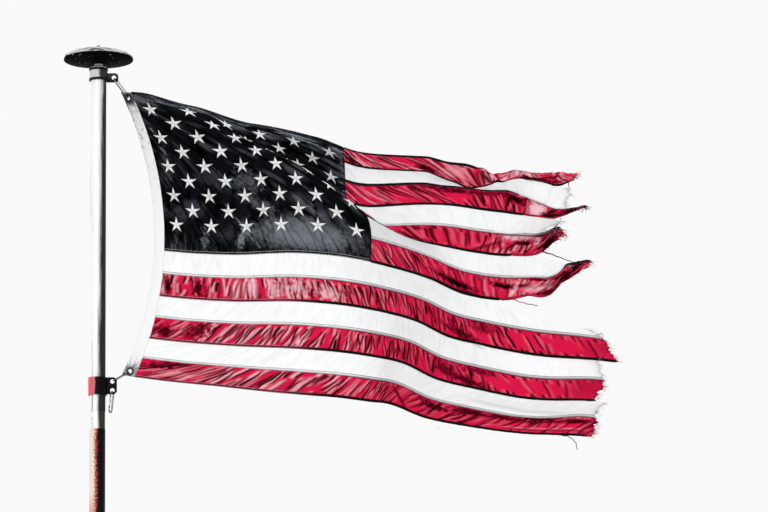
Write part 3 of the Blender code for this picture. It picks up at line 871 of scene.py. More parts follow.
@dataclass(frozen=True)
class Pucker:
    """Small wrinkles across a red stripe from fly on, until its next row.

    lean is fly gained for each metre down, wave their spacing, height their
    depth, dark and pale the strength of the painted shade in the crease and the
    painted highlight on the crest, hug how closely they keep to the seams (0 right
    across, 1 only beside them).
    """

    fly: float
    lean: float
    wave: float
    height: float
    dark: float
    pale: float
    hug: float


PUCKERS = {
    1: table(Pucker,
        (0.63, 1.1, 0.016, 0.0024, 1, 0.7, 0.1), (0.8, 1.4, 0.018, 0.0028, 1, 0.55, 0.1),
        (0.9, 0.6, 0.026, 0.0028, 0.8, 0.65, 0.1), (1, 0.2, 0.024, 0.003, 1, 0.9, 0.1),
        (1.1, 0.8, 0.013, 0.0025, 1, 0.6, 0.2)),
    3: table(Pucker,
        (0.63, 1.3, 0.016, 0.0024, 1, 0.45, 0.15), (0.8, 1, 0.015, 0.0026, 1, 0.15, 0.45),
        (1.02, 0.4, 0.018, 0.0026, 1, 0.1, 0.4), (1.1, 0.2, 0.03, 0.002, 0.3, 0.6, 0.3),
        (1.17, -0.6, 0.014, 0.0024, 1, 0.2, 0)),
    5: table(Pucker,
        (0.63, 0.9, 0.015, 0.0024, 1, 0.25, 0), (0.8, 0.6, 0.019, 0.0022, 0.9, 0.1, 0.5),
        (0.95, 0.1, 0.019, 0.0024, 0.9, 0.12, 0.25), (1.03, -0.3, 0.016, 0.0026, 0.9, 0.55, 0.3),
        (1.14, -0.9, 0.013, 0.003, 1, 0.5, 0)),
    7: table(Pucker,
        (0.63, 0.8, 0.012, 0.0024, 1, 0.35, 0), (0.8, 0.75, 0.013, 0.0024, 1, 0.15, 0.1),
        (0.9, 0.5, 0.019, 0.0022, 0.7, 0.06, 0.7), (1, 0.3, 0.02, 0.0024, 0.6, 0.25, 0.6),
        (1.1, 0.4, 0.014, 0.0024, 0.5, 0.6, 0.5), (1.2, -1, 0.013, 0.0028, 1, 0.55, 0)),
    9: table(Pucker,
        (0, -0.1, 0.017, 0.0028, 1, 0.55, 0), (0.15, -0.1, 0.017, 0.0028, 0.9, 0.5, 0),
        (0.23, -0.2, 0.018, 0.0026, 0.7, 1, 0.1), (0.36, 0.2, 0.016, 0.0028, 0.9, 1, 0.1),
        (0.5, 0.25, 0.014, 0.0028, 1, 0.7, 0), (0.6, 0.4, 0.013, 0.0024, 1, 0.45, 0),
        (0.8, 0.55, 0.013, 0.0024, 1, 0.12, 0.1), (0.95, 0.6, 0.014, 0.0022, 1, 0.1, 0.4),
        (1.1, 0.8, 0.018, 0.002, 1, 0.2, 0.85), (1.4, 0.5, 0.026, 0.0014, 0.6, 0.05, 0.85)),
    11: table(Pucker,
        (0, -1.1, 0.022, 0.0028, 1, 0.3, 0), (0.14, -0.95, 0.017, 0.0028, 1, 0.6, 0),
        (0.26, -0.8, 0.016, 0.0028, 0.8, 1, 0), (0.45, -0.5, 0.015, 0.0028, 1, 0.9, 0),
        (0.58, -0.25, 0.014, 0.0026, 1, 0.6, 0), (0.72, 0.2, 0.014, 0.0024, 1, 0.15, 0),
        (0.95, 0.5, 0.014, 0.0022, 1, 0.08, 0.3), (1.12, 0.9, 0.02, 0.002, 1, 0.15, 0.85),
        (1.4, 0.3, 0.026, 0.0014, 0.5, 0.05, 0.85)),
    13: table(Pucker,
        (0, -3.2, 0.04, 0.0028, 1, 0.25, 0), (0.1, -1.9, 0.03, 0.0026, 0.8, 0.45, 0.1),
        (0.22, -1.25, 0.022, 0.0028, 0.9, 0.85, 0.1), (0.45, -1.2, 0.021, 0.0028, 1, 0.9, 0.1),
        (0.58, -1, 0.02, 0.0026, 1, 0.5, 0.1), (0.75, -0.7, 0.016, 0.0024, 1, 0.15, 0.1),
        (0.95, -0.8, 0.018, 0.0022, 1, 0.1, 0.3), (1.15, -1.2, 0.026, 0.0018, 1, 0.15, 0.6),
        (1.4, -1.2, 0.026, 0.0016, 0.7, 0.15, 0.6)),
}


@dataclass(frozen=True)
class Blotch:
    """A soft shadow or sheen on one stripe (0: the canton), centred at fly and drop.

    long and wide are its half sizes, slope the angle in degrees at which it
    lies, falling with the fly; dark is how dark it is, or below zero how
    pale, and torn how broken its outline is.
    """

    stripe: int
    fly: float
    drop: float
    long: float
    wide: float
    slope: float
    dark: float
    torn: float


BLOTCHES = table(
    Blotch,
    (1, 0.64, 0.05, 0.03, 0.01, 35, 0.9, 0.5), (1, 0.795, 0.048, 0.026, 0.011, 45, 1, 0.4),
    (1, 0.845, 0.03, 0.03, 0.022, -60, -0.5, 0.5), (1, 0.955, 0.062, 0.06, 0.007, 0, 1, 0.4),
    (1, 1.07, 0.056, 0.065, 0.012, -4, 1, 0.5), (1, 1.13, 0.03, 0.035, 0.007, -10, 1, 0.7),
    (1, 1.03, 0.018, 0.06, 0.016, 0, -0.9, 0.3), (3, 0.93, 0.154, 0.075, 0.012, 0, 0.75, 0.9),
    (3, 1.03, 0.16, 0.045, 0.012, 12, 1, 0.6), (3, 1.01, 0.178, 0.008, 0.024, 8, 1, 0.5),
    (3, 1.112, 0.178, 0.032, 0.045, 20, -1, 0.3), (3, 1.19, 0.196, 0.06, 0.014, 0, 1, 0.3),
    (3, 1.25, 0.172, 0.05, 0.03, 0, 1, 0.3), (5, 0.72, 0.326, 0.048, 0.012, 22, 1, 0.5),
    (5, 0.79, 0.338, 0.04, 0.007, 8, 0.8, 0.5), (5, 1.065, 0.287, 0.055, 0.014, 0, -0.95, 0.4),
    (5, 1.085, 0.309, 0.034, 0.007, -4, 1, 0.6), (5, 1.045, 0.322, 0.016, 0.005, -40, 1, 0.4),
    (5, 1.17, 0.33, 0.03, 0.018, -38, 1, 0.3), (5, 1.13, 0.3, 0.01, 0.02, 20, -0.9, 0.4),
    (7, 0.895, 0.468, 0.075, 0.012, 5, 1, 0.5), (7, 1.045, 0.449, 0.04, 0.009, 8, 1, 0.6),
    (7, 1.085, 0.46, 0.009, 0.03, 25, -1, 0.3), (7, 1.15, 0.463, 0.038, 0.014, 0, -0.75, 0.4),
    (7, 1.15, 0.43, 0.044, 0.0045, 3, 1, 0.4), (7, 1.215, 0.44, 0.03, 0.006, 25, 1, 0.6),
    (7, 1.24, 0.47, 0.035, 0.01, -30, 0.9, 0.7), (9, 0.02, 0.598, 0.01, 0.03, -10, 1, 0.4),
    (9, 0.115, 0.598, 0.016, 0.028, -5, 0.9, 0.8), (9, 0.28, 0.59, 0.016, 0.026, 0, -1, 0.3),
    (9, 0.35, 0.598, 0.02, 0.026, 0, -0.9, 0.7), (9, 0.42, 0.592, 0.034, 0.024, 8, -0.9, 0.9),
    (9, 0.51, 0.6, 0.044, 0.02, 14, -0.8, 0.9), (9, 1.01, 0.583, 0.035, 0.014, 0, 0.6, 0.8),
    (9, 1.35, 0.6, 0.04, 0.03, 0, 0.3, 0.3), (11, 0.035, 0.745, 0.02, 0.024, -40, 0.9, 0.5),
    (11, 0.13, 0.735, 0.04, 0.02, -30, 0.8, 0.9), (11, 1.02, 0.716, 0.045, 0.01, 0, 0.75, 0.7),
    (11, 1.34, 0.735, 0.05, 0.03, 0, 0.28, 0.3), (13, 0.06, 0.86, 0.05, 0.01, -8, 0.9, 0.8),
    (13, 0.09, 0.885, 0.05, 0.014, 0, -0.5, 0.5), (13, 1.01, 0.86, 0.05, 0.013, 0, 0.9, 0.7),
    (13, 1.21, 0.851, 0.08, 0.006, 1, 1, 0.3), (13, 1.33, 0.862, 0.045, 0.006, -5, 1, 0.4),
    (0, 0.43, 0.435, 0.16, 0.046, 5, -0.95, 0.25), (0, 0.3, 0.345, 0.06, 0.016, 30, -0.5, 0.5),
    (0, 0.245, 0.44, 0.014, 0.034, 20, -1, 1), (0, 0.13, 0.45, 0.012, 0.03, 0, -0.6, 0.9),
    (0, 0.27, 0.28, 0.045, 0.03, 30, -0.45, 0.9), (0, 0.03, 0.235, 0.02, 0.05, 0, -0.25, 0.9),
    (0, 0.56, 0.445, 0.04, 0.026, 0, -0.5, 0.9), (0, 0.018, 0.122, 0.01, 0.003, 55, -1, 0.5),
    (0, 0.034, 0.184, 0.014, 0.0036, 55, -1, 0.6), (0, 0.205, 0.356, 0.018, 0.0026, 50, -1, 0.5),
    (0, 0.236, 0.396, 0.022, 0.0026, 48, -1, 0.5), (0, 0.268, 0.436, 0.022, 0.004, 50, -1, 0.7),
    (0, 0.294, 0.466, 0.014, 0.004, 60, -1, 0.7), (3, 1.236, 0.176, 0.05, 0.06, 0, 1, 0.1),
    (3, 1.15, 0.196, 0.03, 0.02, -35, 1, 0.3), (3, 0.85, 0.152, 0.06, 0.01, 6, 0.9, 0.8),
    (3, 1.06, 0.17, 0.026, 0.01, 22, 0.8, 0.6), (1, 1.095, 0.046, 0.05, 0.012, 0, 1, 0.6),
    (1, 1.15, 0.052, 0.04, 0.01, -8, 0.9, 0.8), (7, 1.19, 0.482, 0.04, 0.01, -18, 0.9, 0.6),
    (7, 1.225, 0.462, 0.034, 0.012, -30, 1, 0.7), (7, 1.255, 0.435, 0.022, 0.012, -10, 1, 0.7),
    (9, 0.985, 0.56, 0.03, 0.012, 18, 0.8, 0.8), (9, 0.955, 0.612, 0.04, 0.01, 14, 0.9, 0.8),
    (11, 0.985, 0.752, 0.05, 0.01, 10, 0.9, 0.8), (11, 0.93, 0.735, 0.03, 0.014, 24, 0.8, 0.9),
    (13, 0.93, 0.865, 0.04, 0.012, 14, 0.9, 0.8), (13, 1.115, 0.858, 0.06, 0.008, 2, 0.9, 0.7),
    (3, 1.16, 0.165, 0.01, 0.034, 35, 1, 0.4),
)


@dataclass(frozen=True)
class Crease:
    """One crease between two flat points: its width, depth, and how dark and pale its two sides show, as
    painted shade and painted highlight.
    """

    from_fly: float
    from_drop: float
    to_fly: float
    to_drop: float
    width: float
    depth: float
    dark: float
    pale: float


CREASES = table(
    Crease,
    (0.9, 0.004, 0.97, 0.068, 0.016, 0.006, 0.9, 0.9), (1, 0.004, 0.95, 0.068, 0.012, 0.005, 0.5, 0.9),
    (1.03, 0.002, 1.06, 0.06, 0.014, 0.006, 0.8, 0.9), (0.98, 0.155, 1.1, 0.15, 0.01, 0.004, 0.9, 0.1),
    (1.075, 0.142, 1.075, 0.208, 0.008, 0.005, 1, 0.2), (0.92, 0.34, 1.02, 0.3, 0.012, 0.003, 0.7, 0.1),
    (1.12, 0.33, 1.2, 0.315, 0.012, 0.005, 1, 0.3), (1.07, 0.44, 1.15, 0.455, 0.014, 0.005, 1, 0.3),
    (1.17, 0.43, 1.19, 0.485, 0.016, 0.004, 0, 0.9), (0.8, 0.485, 0.98, 0.48, 0.012, 0.003, 0.8, 0),
    (0.88, 0.59, 1.02, 0.64, 0.01, 0.003, 0.8, 0), (0.95, 0.74, 1.05, 0.765, 0.012, 0.003, 0.9, 0),
    (0.8, 0.85, 0.86, 0.905, 0.01, 0.003, 0.9, 0), (0.96, 0.865, 1.2, 0.852, 0.009, 0.004, 0.9, 0.2),
    (1.15, 0.86, 1.37, 0.853, 0.01, 0.004, 0.9, 0.3), (1.1, 0.895, 1.36, 0.893, 0.008, 0.003, 0.6, 0.3),
    (1, 0.805, 1.3, 0.822, 0.016, 0.004, 0.5, 0), (0.28, 0.395, 0.42, 0.48, 0.02, 0.003, 0.2, 0.5),
    (0.4, 0.33, 0.52, 0.42, 0.022, 0.003, 0.3, 0.5), (0.5, 0.37, 0.6, 0.45, 0.02, 0.003, 0.4, 0.3),
)


ThreeArrays = tuple[np.ndarray, np.ndarray, np.ndarray]
Surface = Callable[[np.ndarray, np.ndarray], np.ndarray]
AXIS_STEP = 0.01
SKIN_STEP = 0.004
FRAME_STEP = 0.0015
LEVEL = 0.4  # the line of the noise plane that ragged edges are read along


class Waves(Enum):
    """Fields of noise by name: size of the waves along two axes, and the seed."""

    RIPPLE = (0.011, 0.2, 71)
    RAYS = (0.040, 0.22, 301)
    FINE_RAYS = (0.017, 0.12, 302)
    SLANTS = (0.034, 0.15, 303)
    UPRIGHT = (0.016, 0.10, 304)
    LEVEL_FOLDS = (0.013, 0.05, 305)
    BAND_GAPS = (0.06, 0.08, 306)
    LOWER_SHEEN = (0.10, 0.08, 307)
    TICKS = (0.0085, 0.035, 308)
    BARS = (0.0050, 0.03, 309)
    TICK_GROUPS = (0.05, 0.04, 310)
    STREAKS = (0.010, 0.09, 311)
    UPPER_SHEEN = (0.09, 0.08, 312)
    FOOT_SHEEN = (0.09, 1.0, 313)
    TOP_EYE = (0.30, 0.05, 401)
    FOOT_EYE = (0.30, 0.05, 402)
    SMUDGES = (0.009, 0.014, 410)
    LOST_EDGE = (0.045, 1.0, 660)
    LOST_TEETH = (0.012, 1.0, 661)

    def at(self, x: np.ndarray, y: np.ndarray | float) -> np.ndarray:
        """The noise at x and y."""
        along, down, seed = self.value
        return rolling(x / along, y / down, seed)


@dataclass(frozen=True)
class SeamShade:
    """The dark line under a pale seam: how far under it, how wide and dark, and from which fly on."""

    drop: float = 0.0012
    width: float = 0.0018
    dark: float = 0.95
    from_fly: float = 0.35
    over: float = 0.30

    def size(self, fly: np.ndarray, below: np.ndarray) -> np.ndarray:
        """Darkness at a fly and a drop below the seam."""
        return self.dark * bell(below - self.drop, self.width) * eased((fly - self.from_fly) / self.over)


@dataclass(frozen=True)
class Scatter:
    """Odds and ranges by which wrinkles are scattered; begin and reach are shares of a stripe's height."""

    from_top: float = 0.62
    bold: float = 0.82
    tick_reach: Range = (0.14, 0.36)
    tick_begin: Range = (-0.05, 0.02)
    long_reach: Range = (0.40, 1.10)
    long_begin: Range = (-0.10, 0.25)
    bold_strength: Range = (0.55, 1.0)
    faint_strength: Range = (0.1, 0.4)
    width: Range = (0.20, 0.34)
    narrowest: float = 0.0030
    pale: Range = (0.3, 1.15)
    aside: Range = (0.38, 0.5)
    spacing: Range = (0.38, 0.82)
    lean: float = 0.18


SEAM_SHADE = SeamShade()
SCATTER = Scatter()


@dataclass
class FlagSurface:
    """The flag's skin in the wind, at any flat place.

    A lattice over the flat cloth is laid out once: each hoist thread is
    stepped down from the top edge, every step tipped about the fold it lies
    on, so its length never changes. Places between are blended, and past
    their loose points the streamers are turned, curled and moved on top.
    """

    pattern: FlagPattern
    fly_step: float = 0.003
    steps_per_stripe: int = 30
    spine_seam: int = 8
    line_blend: float = 0.07
    knee_reach: float = 0.08
    knee_drop: float = 0.015
    first_fly: float = -0.045
    last_fly: float = 1.48
    no_fold: float = 1.5
    ripple: float = 0.0005
    lattice: np.ndarray = field(init=False, repr=False)
    wrinkles: dict[int, np.ndarray] = field(init=False, repr=False)

    def __post_init__(self) -> None:
        """Scatters the wrinkles, then lays out the lattice from SECTIONS and FOLDS."""
        self.wrinkles = {stripe: self.scatter_wrinkles(stripe) for stripe in PUCKERS}
        hoist = self.pattern.hoist
        fly = np.arange(self.first_fly, self.last_fly, self.fly_step)[:, None]
        drop = np.linspace(0, hoist, self.pattern.stripes * self.steps_per_stripe + 1)[None, :]
        part = {name: self.column(name, fly) for name in (f.name for f in fields(Section)) if name != "fly"}
        line = LONG_FOLD.line(fly)
        below = np.clip((drop - line) / (hoist - line), 0, 1)
        front = part["front"] + (part["foot"] - part["front"]) * below ** 2
        tilt = part["back"] + (front - part["back"]) * eased((drop - line) / self.line_blend + 0.5)
        sizes = [fold.size(fly, drop) for fold in FOLDS]
        weight = sum(abs(size) for size in sizes) + self.no_fold
        turn = (sum(abs(size) * fold.turn for size, fold in zip(sizes, FOLDS)) / weight)[..., None]
        tilt = np.radians(tilt + sum(sizes))[..., None]
        from_middle = 1 - 2 * drop / hoist
        knee = part["knee"] * bell(drop - line - self.knee_drop, self.knee_reach)
        bow = np.where(from_middle > 0, part["top_bow"], part["foot_bow"]) * from_middle
        slant = np.radians(part["lean"] + bow + knee)
        downward = np.stack([np.sin(slant), 0 * slant, -np.cos(slant)], -1)
        along = np.stack([np.cos(slant), 0 * slant, np.sin(slant)], -1)
        c, s = np.cos(turn), np.sin(turn)
        step = ((c * c * np.cos(tilt) + s * s) * downward + s * c * (1 - np.cos(tilt)) * along
                + c * np.sin(tilt) * np.array([0.0, -1.0, 0.0]))
        step *= (1 - part["gather"] * below ** 2)[..., None]
        run = np.cumsum(0.5 * (step[:, 1:] + step[:, :-1]) * drop[0, 1], 1)
        run = np.concatenate([np.zeros_like(run[:, :1]), run], 1)
        spine = np.stack([part["x"], part["y"], part["z"]], -1)
        self.lattice = spine + run - run[:, self.spine_seam * self.steps_per_stripe, None]

    @staticmethod
    def column(name: str, fly: np.ndarray) -> np.ndarray:
        """One column of SECTIONS at any fly: a cubic through the rows, straight past the ends."""
        return curve_through(values(SECTIONS, "fly"), values(SECTIONS, name), fly)

    def whole(self, fly: np.ndarray, drop: np.ndarray) -> np.ndarray:
        """The uncut cloth's middle at each flat place, blended from the lattice's four nearest points."""
        a = (fly - self.first_fly) / self.fly_step
        b = drop * (self.pattern.stripes * self.steps_per_stripe) / self.pattern.hoist
        i = np.clip(np.floor(a).astype(int), 0, self.lattice.shape[0] - 2)
        j = np.clip(np.floor(b).astype(int), 0, self.lattice.shape[1] - 2)
        s, t = (a - i)[..., None], (b - j)[..., None]
        near = self.lattice[i, j] * (1 - t) + self.lattice[i, j + 1] * t
        far = self.lattice[i + 1, j] * (1 - t) + self.lattice[i + 1, j + 1] * t
        return near * (1 - s) + far * s

    def streamed(self, stripe: int, fly: np.ndarray, drop: np.ndarray) -> np.ndarray:
        """The whole cloth with a stripe's streamer applied.

        Args:
            stripe: its number, or 0 for the canton and heading.
            fly: flat distances from the heading.
            drop: flat distances from the top edge.

        Returns:
            Points (..., 3).
        """
        fly, drop = paired(fly, drop)
        points = self.whole(fly, drop)
        for part in STREAMERS:
            if not part.first <= stripe <= part.last:
                continue
            amount = eased((fly - part.loose) / (part.end - part.loose))
            middle = np.full_like(fly, 0.5 * (part.first - 1 + part.last) * self.pattern.stripe)
            centre = self.whole(fly, middle)
            axis = self.run(self.whole, fly, middle)
            arm = turned(points - centre, axis, np.radians(part.twist) * amount)
            points = centre + arm + amount[..., None] * np.array([0.0, part.sway, part.lift])
        return points

    def flown(self, stripe: int, fly: np.ndarray, drop: np.ndarray) -> np.ndarray:
        """The cloth with a stripe's streamer and then its tail applied.

        Args:
            stripe: its number, or 0 for the canton and heading.
            fly: flat distances from the heading.
            drop: flat distances from the top edge.

        Returns:
            Points (..., 3).
        """
        fly, drop = paired(fly, drop)
        points = self.streamed(stripe, fly, drop)
        rows = TAILS.get(stripe)
        if not rows:
            return points
        held = np.clip(fly, rows[0].fly, rows[-1].fly)
        here = {name: curve_through(values(rows, "fly"), values(rows, name), held, held=True)
                for name in ("lift", "roll", "about", "narrow")}
        hinge = (stripe - 1 + here["about"]) * self.pattern.stripe
        centre = self.streamed(stripe, fly, hinge)
        axis = self.run(partial(self.streamed, stripe), fly, hinge)
        arm = turned(points - centre, axis, np.radians(here["roll"])) * (1 - here["narrow"])[..., None]
        if stripe in CARRIED:
            centre = self.flown(CARRIED[stripe], fly, hinge)
        return centre + arm + here["lift"][..., None] * np.array([0.0, 0.0, 1.0])

    def relief(self, stripe: int, fly: np.ndarray, drop: np.ndarray) -> tuple[np.ndarray, np.ndarray]:
        """Wrinkles at each flat place: their height towards -Y, and their tone of painted shade and
        highlight.

        Args:
            stripe: the stripe's number, 0 for the canton, -1 for the heading.
            fly: flat distances.
            drop: flat distances.

        Returns:
            Heights (...) and tones (..., 3): crease as painted shade, crest as painted highlight, and soil.
        """
        fly, drop = paired(fly, drop)
        if stripe > 0:
            height, crease, crest = self.stripe_puckers(stripe, fly, drop)
        elif stripe == 0:
            height, crease, crest = self.canton_puckers(fly, drop)
        else:
            height, crease, crest = self.heading_gathers(fly, drop)
        if stripe >= 0:
            bent, dark, pale = self.single_creases(fly, drop)
            height, crease, crest = height + bent, np.maximum(crease, dark), np.maximum(crest, pale)
            shade, sheen = self.blotches(stripe, fly, drop)
            crease = np.maximum(crease * (1 - 0.7 * sheen), shade)
            crest = np.maximum(crest * (1 - shade), sheen)
            seam = np.sin(math.pi * drop / self.pattern.stripe) ** 2 if stripe else 1.0
            if stripe % 2 == 1:
                crease = np.maximum(crease, SEAM_SHADE.size(fly, drop - (stripe - 1) * self.pattern.stripe))
            height = height + self.ripple * Waves.RIPPLE.at(fly, drop) * (1 - 0.6 * seam)
        return height, np.stack([crease, crest * (1 - crease), np.zeros_like(height)], -1)

    def scatter_wrinkles(self, stripe: int) -> np.ndarray:
        """Lays one red stripe's wrinkles along it at about the wave that PUCKERS gives there.

        Most run from near one seam across the stripe and thin out; the share
        called hug are ticks that stay close to a seam.

        Args:
            stripe: the stripe's number.

        Returns:
            A row (fly, begin, end, lean, width, deep, dark, pale, aside) for each.
        """
        rows = PUCKERS[stripe]
        at = values(rows, "fly")
        lucky = np.random.default_rng(70 + stripe)
        laid, fly = [], self.pattern.start(stripe) - 0.01
        while fly < self.last_fly - 0.03:
            here = {name: float(np.interp(fly, at, values(rows, name)))
                    for name in ("wave", "lean", "height", "dark", "pale", "hug")}
            tick, upper = lucky.random() < here["hug"], lucky.random() < SCATTER.from_top
            reach = lucky.uniform(*SCATTER.tick_reach if tick else SCATTER.long_reach)
            begin = lucky.uniform(*SCATTER.tick_begin if tick else SCATTER.long_begin)
            bold = lucky.random() < SCATTER.bold
            strong = lucky.uniform(*SCATTER.bold_strength if bold else SCATTER.faint_strength)
            span = (begin, begin + reach) if upper else (1 - begin, 1 - begin - reach)
            laid.append((fly, *span, here["lean"] + lucky.normal(0, SCATTER.lean),
                         max(SCATTER.narrowest, here["wave"] * lucky.uniform(*SCATTER.width)),
                         here["height"] * (0.4 + 0.6 * strong), here["dark"] * strong,
                         here["pale"] * lucky.uniform(*SCATTER.pale),
                         here["wave"] * lucky.choice((-1, 1)) * lucky.uniform(*SCATTER.aside)))
            fly += here["wave"] * lucky.uniform(*SCATTER.spacing) * (0.5 if tick else 1.0)
        return np.array(laid)

    def stripe_puckers(self, stripe: int, fly: np.ndarray, drop: np.ndarray) -> ThreeArrays:
        """Height, crease and glint of one stripe; a white has its lower neighbour's, much fainter.

        Each pucker is a valley that narrows from its begin to its end, painted dark inside as
        shade and painted lit beside it as a highlight, and the cloth stands up a little there.
        """
        size = self.pattern.stripe
        down = drop / size - (stripe - 1)
        red = stripe % 2 == 1
        rows = self.wrinkles[stripe if red else stripe + 1]
        wavy = 0.0040 * rolling(fly / 0.035, down * 2.1, 11 + stripe)
        height, crease, glint = np.zeros_like(fly), np.zeros_like(fly), np.zeros_like(fly)
        for at, begin, end, lean, width, deep, dark, pale, aside in rows:
            off = fly - at - lean * (down - 0.5) * size + wavy
            close = np.abs(off) < 4 * width + abs(aside)
            if not close.any():
                continue
            share = (down[close] - begin) / (end - begin)
            ends = eased((share + 0.10) / 0.15) * eased((1.0 - share) / 0.40)
            narrow = width * (0.50 + 0.50 * np.clip(1 - share, 0, 1))
            valley = bell(off[close], narrow) * ends
            beside = bell(off[close] - aside, 1.2 * width) * ends
            height[close] += deep * (0.6 * beside - valley)
            crease[close] = np.maximum(crease[close], dark * valley)
            glint[close] = np.maximum(glint[close], pale * beside)
        inside = np.clip(down, 0, 1)
        pinned = eased(inside * size / 0.009) * eased((1 - inside) * size / 0.009)
        faint = 1.0 if red else 0.16
        crease, glint = 1.35 * crease, 1.25 * glint * (1 - 0.9 * crease.clip(0, 1))
        return (np.clip(height, -0.005, 0.005) * faint * pinned,
                np.clip(crease * faint * (0.4 + 0.6 * pinned), 0, 1), np.clip(glint, 0, 1))

    def canton_puckers(self, fly: np.ndarray, drop: np.ndarray) -> ThreeArrays:
        """Height, crease and sheen of the canton: rays from the grommet, slants, puckers at two seams."""
        above, outside = 0.030, 0.10
        size = self.pattern.stripe * self.pattern.canton_stripes
        to_right = self.pattern.canton_width - fly
        ray, out = np.arctan2(drop + above, fly + outside), np.hypot(drop + above, fly + outside)
        near_top = eased((0.30 - drop + 0.33 * fly) / 0.22)
        lower = 1 - near_top
        foot, right = np.exp(-(size - drop) / 0.035), np.exp(-to_right / 0.025)
        rays = Waves.RAYS.at(ray, out)
        slant = Waves.SLANTS.at(fly - 0.55 * drop, drop + 0.5 * fly)
        stand = Waves.UPRIGHT.at(fly, drop)
        height = sum(high * where * (np.abs(waves) * steep - sunk) for high, where, waves, steep, sunk in (
            (0.0024, near_top, rays, 1.6, 0.5), (0.0010, near_top, Waves.FINE_RAYS.at(ray, out), 1.6, 0.5),
            (0.0022, lower, slant, 1.5, 0.4), (0.0022, foot, stand, 1.6, 0.5),
            (0.0012, right, Waves.LEVEL_FOLDS.at(drop, fly), 1.6, 0.5)))
        edge = (eased(drop / 0.008) * eased((size - drop) / 0.007) * eased(to_right / 0.007)
                * eased((fly + 0.002) / 0.006))
        ticks = Waves.TICKS.at(fly - 0.9 * drop, drop + 0.8 * fly)
        grouped = eased(Waves.TICK_GROUPS.at(fly, drop) * 1.8 + 0.35)
        # crease is painted shade in the wrinkles; sheen below is a painted highlight
        crease = (bell(rays, 0.12) * near_top + 0.8 * bell(slant, 0.12) * lower
                  + 0.8 * bell(ticks, 0.16) * grouped)
        band = bell(drop - 0.018 - 0.020 * np.clip(fly / 0.5, 0, 1), 0.017)
        streak = eased((Waves.STREAKS.at(ray, out) + 0.15) / 0.25)
        bars = eased((Waves.BARS.at(drop, fly) - 0.05) / 0.2)
        sheen = (2.0 * band * streak * eased(Waves.BAND_GAPS.at(out, ray) * 1.6 + 0.75)
                 + 0.30 * near_top * eased((np.abs(rays) - 0.10) / 0.4)
                 * eased(Waves.UPPER_SHEEN.at(out, ray) * 1.6 + 0.2)
                 + 0.16 * lower * eased(Waves.LOWER_SHEEN.at(fly, drop) * 2.0)
                 + 0.55 * foot * eased((np.abs(stand) - 0.30) / 0.2)
                 * eased(Waves.FOOT_SHEEN.at(fly, 0.0) * 1.6 + 0.5)
                 + 0.75 * bell(to_right - 0.010, 0.009) * bars * eased((0.30 - drop) / 0.05))
        sheen = np.clip(sheen, 0, 1)
        return height * edge, np.clip(crease, 0, 1) * (1 - 0.5 * sheen), sheen

    def heading_gathers(self, fly: np.ndarray, drop: np.ndarray) -> ThreeArrays:
        """Height, crease and no sheen of the heading: painted shade in the rays round both eyes, rust round
        them, and painted shade along the outer edge near the top.
        """
        height, crease, collar = np.zeros_like(fly), np.zeros_like(fly), 0.012
        for eye, field_of, rusty in zip(self.pattern.eye_drops, (Waves.TOP_EYE, Waves.FOOT_EYE), (0.95, 0.5)):
            aside, below = fly - self.pattern.eye_fly, drop - eye
            ray, out = np.arctan2(below, aside), np.hypot(below, aside)
            close = bell(out - collar, 0.030) * eased((out - 0.011) / 0.004)
            waves = field_of.at(ray, out)
            height += 0.0012 * close * waves
            rust = bell(out - collar, 0.008 + 0.010 * np.clip(waves, 0, 1))
            crease += 0.7 * close * bell(waves, 0.20) + rusty * rust
        # painted shade along the outer edge of the heading near its top
        edge = bell(fly + self.pattern.heading_width, 0.0035)
        crease += 0.9 * edge * eased((0.075 - drop) / 0.03) * eased(drop / 0.02)
        return height, np.clip(crease, 0, 1), np.zeros_like(fly)

    @staticmethod
    def blotches(stripe: int, fly: np.ndarray, drop: np.ndarray) -> tuple[np.ndarray, np.ndarray]:
        """Shade and sheen of one stripe's BLOTCHES: exp(-r^4) of the distance r over the half sizes."""
        shade, sheen = np.zeros_like(fly), np.zeros_like(fly)
        for number, row in enumerate(BLOTCHES):
            if row.stripe != stripe:
                continue
            slope = math.radians(row.slope)
            run, fall = fly - row.fly, drop - row.drop
            along = (run * math.cos(slope) + fall * math.sin(slope)) / row.long
            off = (fall * math.cos(slope) - run * math.sin(slope)) / row.wide
            broken = row.torn * (0.8 * rolling(fly / 0.012, drop / 0.012, 700 + number)
                                 + 0.5 * rolling(fly / 0.005, drop / 0.009, 800 + number))
            size = np.exp(-(np.hypot(along, off) + broken).clip(0) ** 4)
            shade, sheen = np.maximum(shade, row.dark * size), np.maximum(sheen, -row.dark * size)
        return shade, sheen

    @staticmethod
    def single_creases(fly: np.ndarray, drop: np.ndarray) -> ThreeArrays:
        """Height, crease and crest of CREASES, each with painted shade on one side of its line and a painted
        highlight on the other.
        """
        height, dark, pale = np.zeros_like(fly), np.zeros_like(fly), np.zeros_like(fly)
        for row in CREASES:
            run, fall = row.to_fly - row.from_fly, row.to_drop - row.from_drop
            length = math.hypot(run, fall)
            along = ((fly - row.from_fly) * run + (drop - row.from_drop) * fall) / length ** 2
            off = ((fly - row.from_fly) * -fall + (drop - row.from_drop) * run) / length
            off = off + 0.25 * row.width * rolling(along * 4, off * 0 + 0.5, 500)
            ends = eased((along + 0.12) / 0.3) * eased((1.12 - along) / 0.3)
            height += row.depth * bell(off, row.width) * ends
            dark = np.maximum(dark, row.dark * bell(off - 0.45 * row.width, 0.42 * row.width) * ends)
            pale = np.maximum(pale, row.pale * bell(off + 0.45 * row.width, 0.6 * row.width) * ends)
        return height, dark, pale

    @staticmethod
    def run(at: Surface, fly: np.ndarray, drop: np.ndarray) -> np.ndarray:
        """Unit direction in which the surface at(fly, drop) runs along the fly."""
        return unit(at(fly + AXIS_STEP, drop) - at(fly - AXIS_STEP, drop))

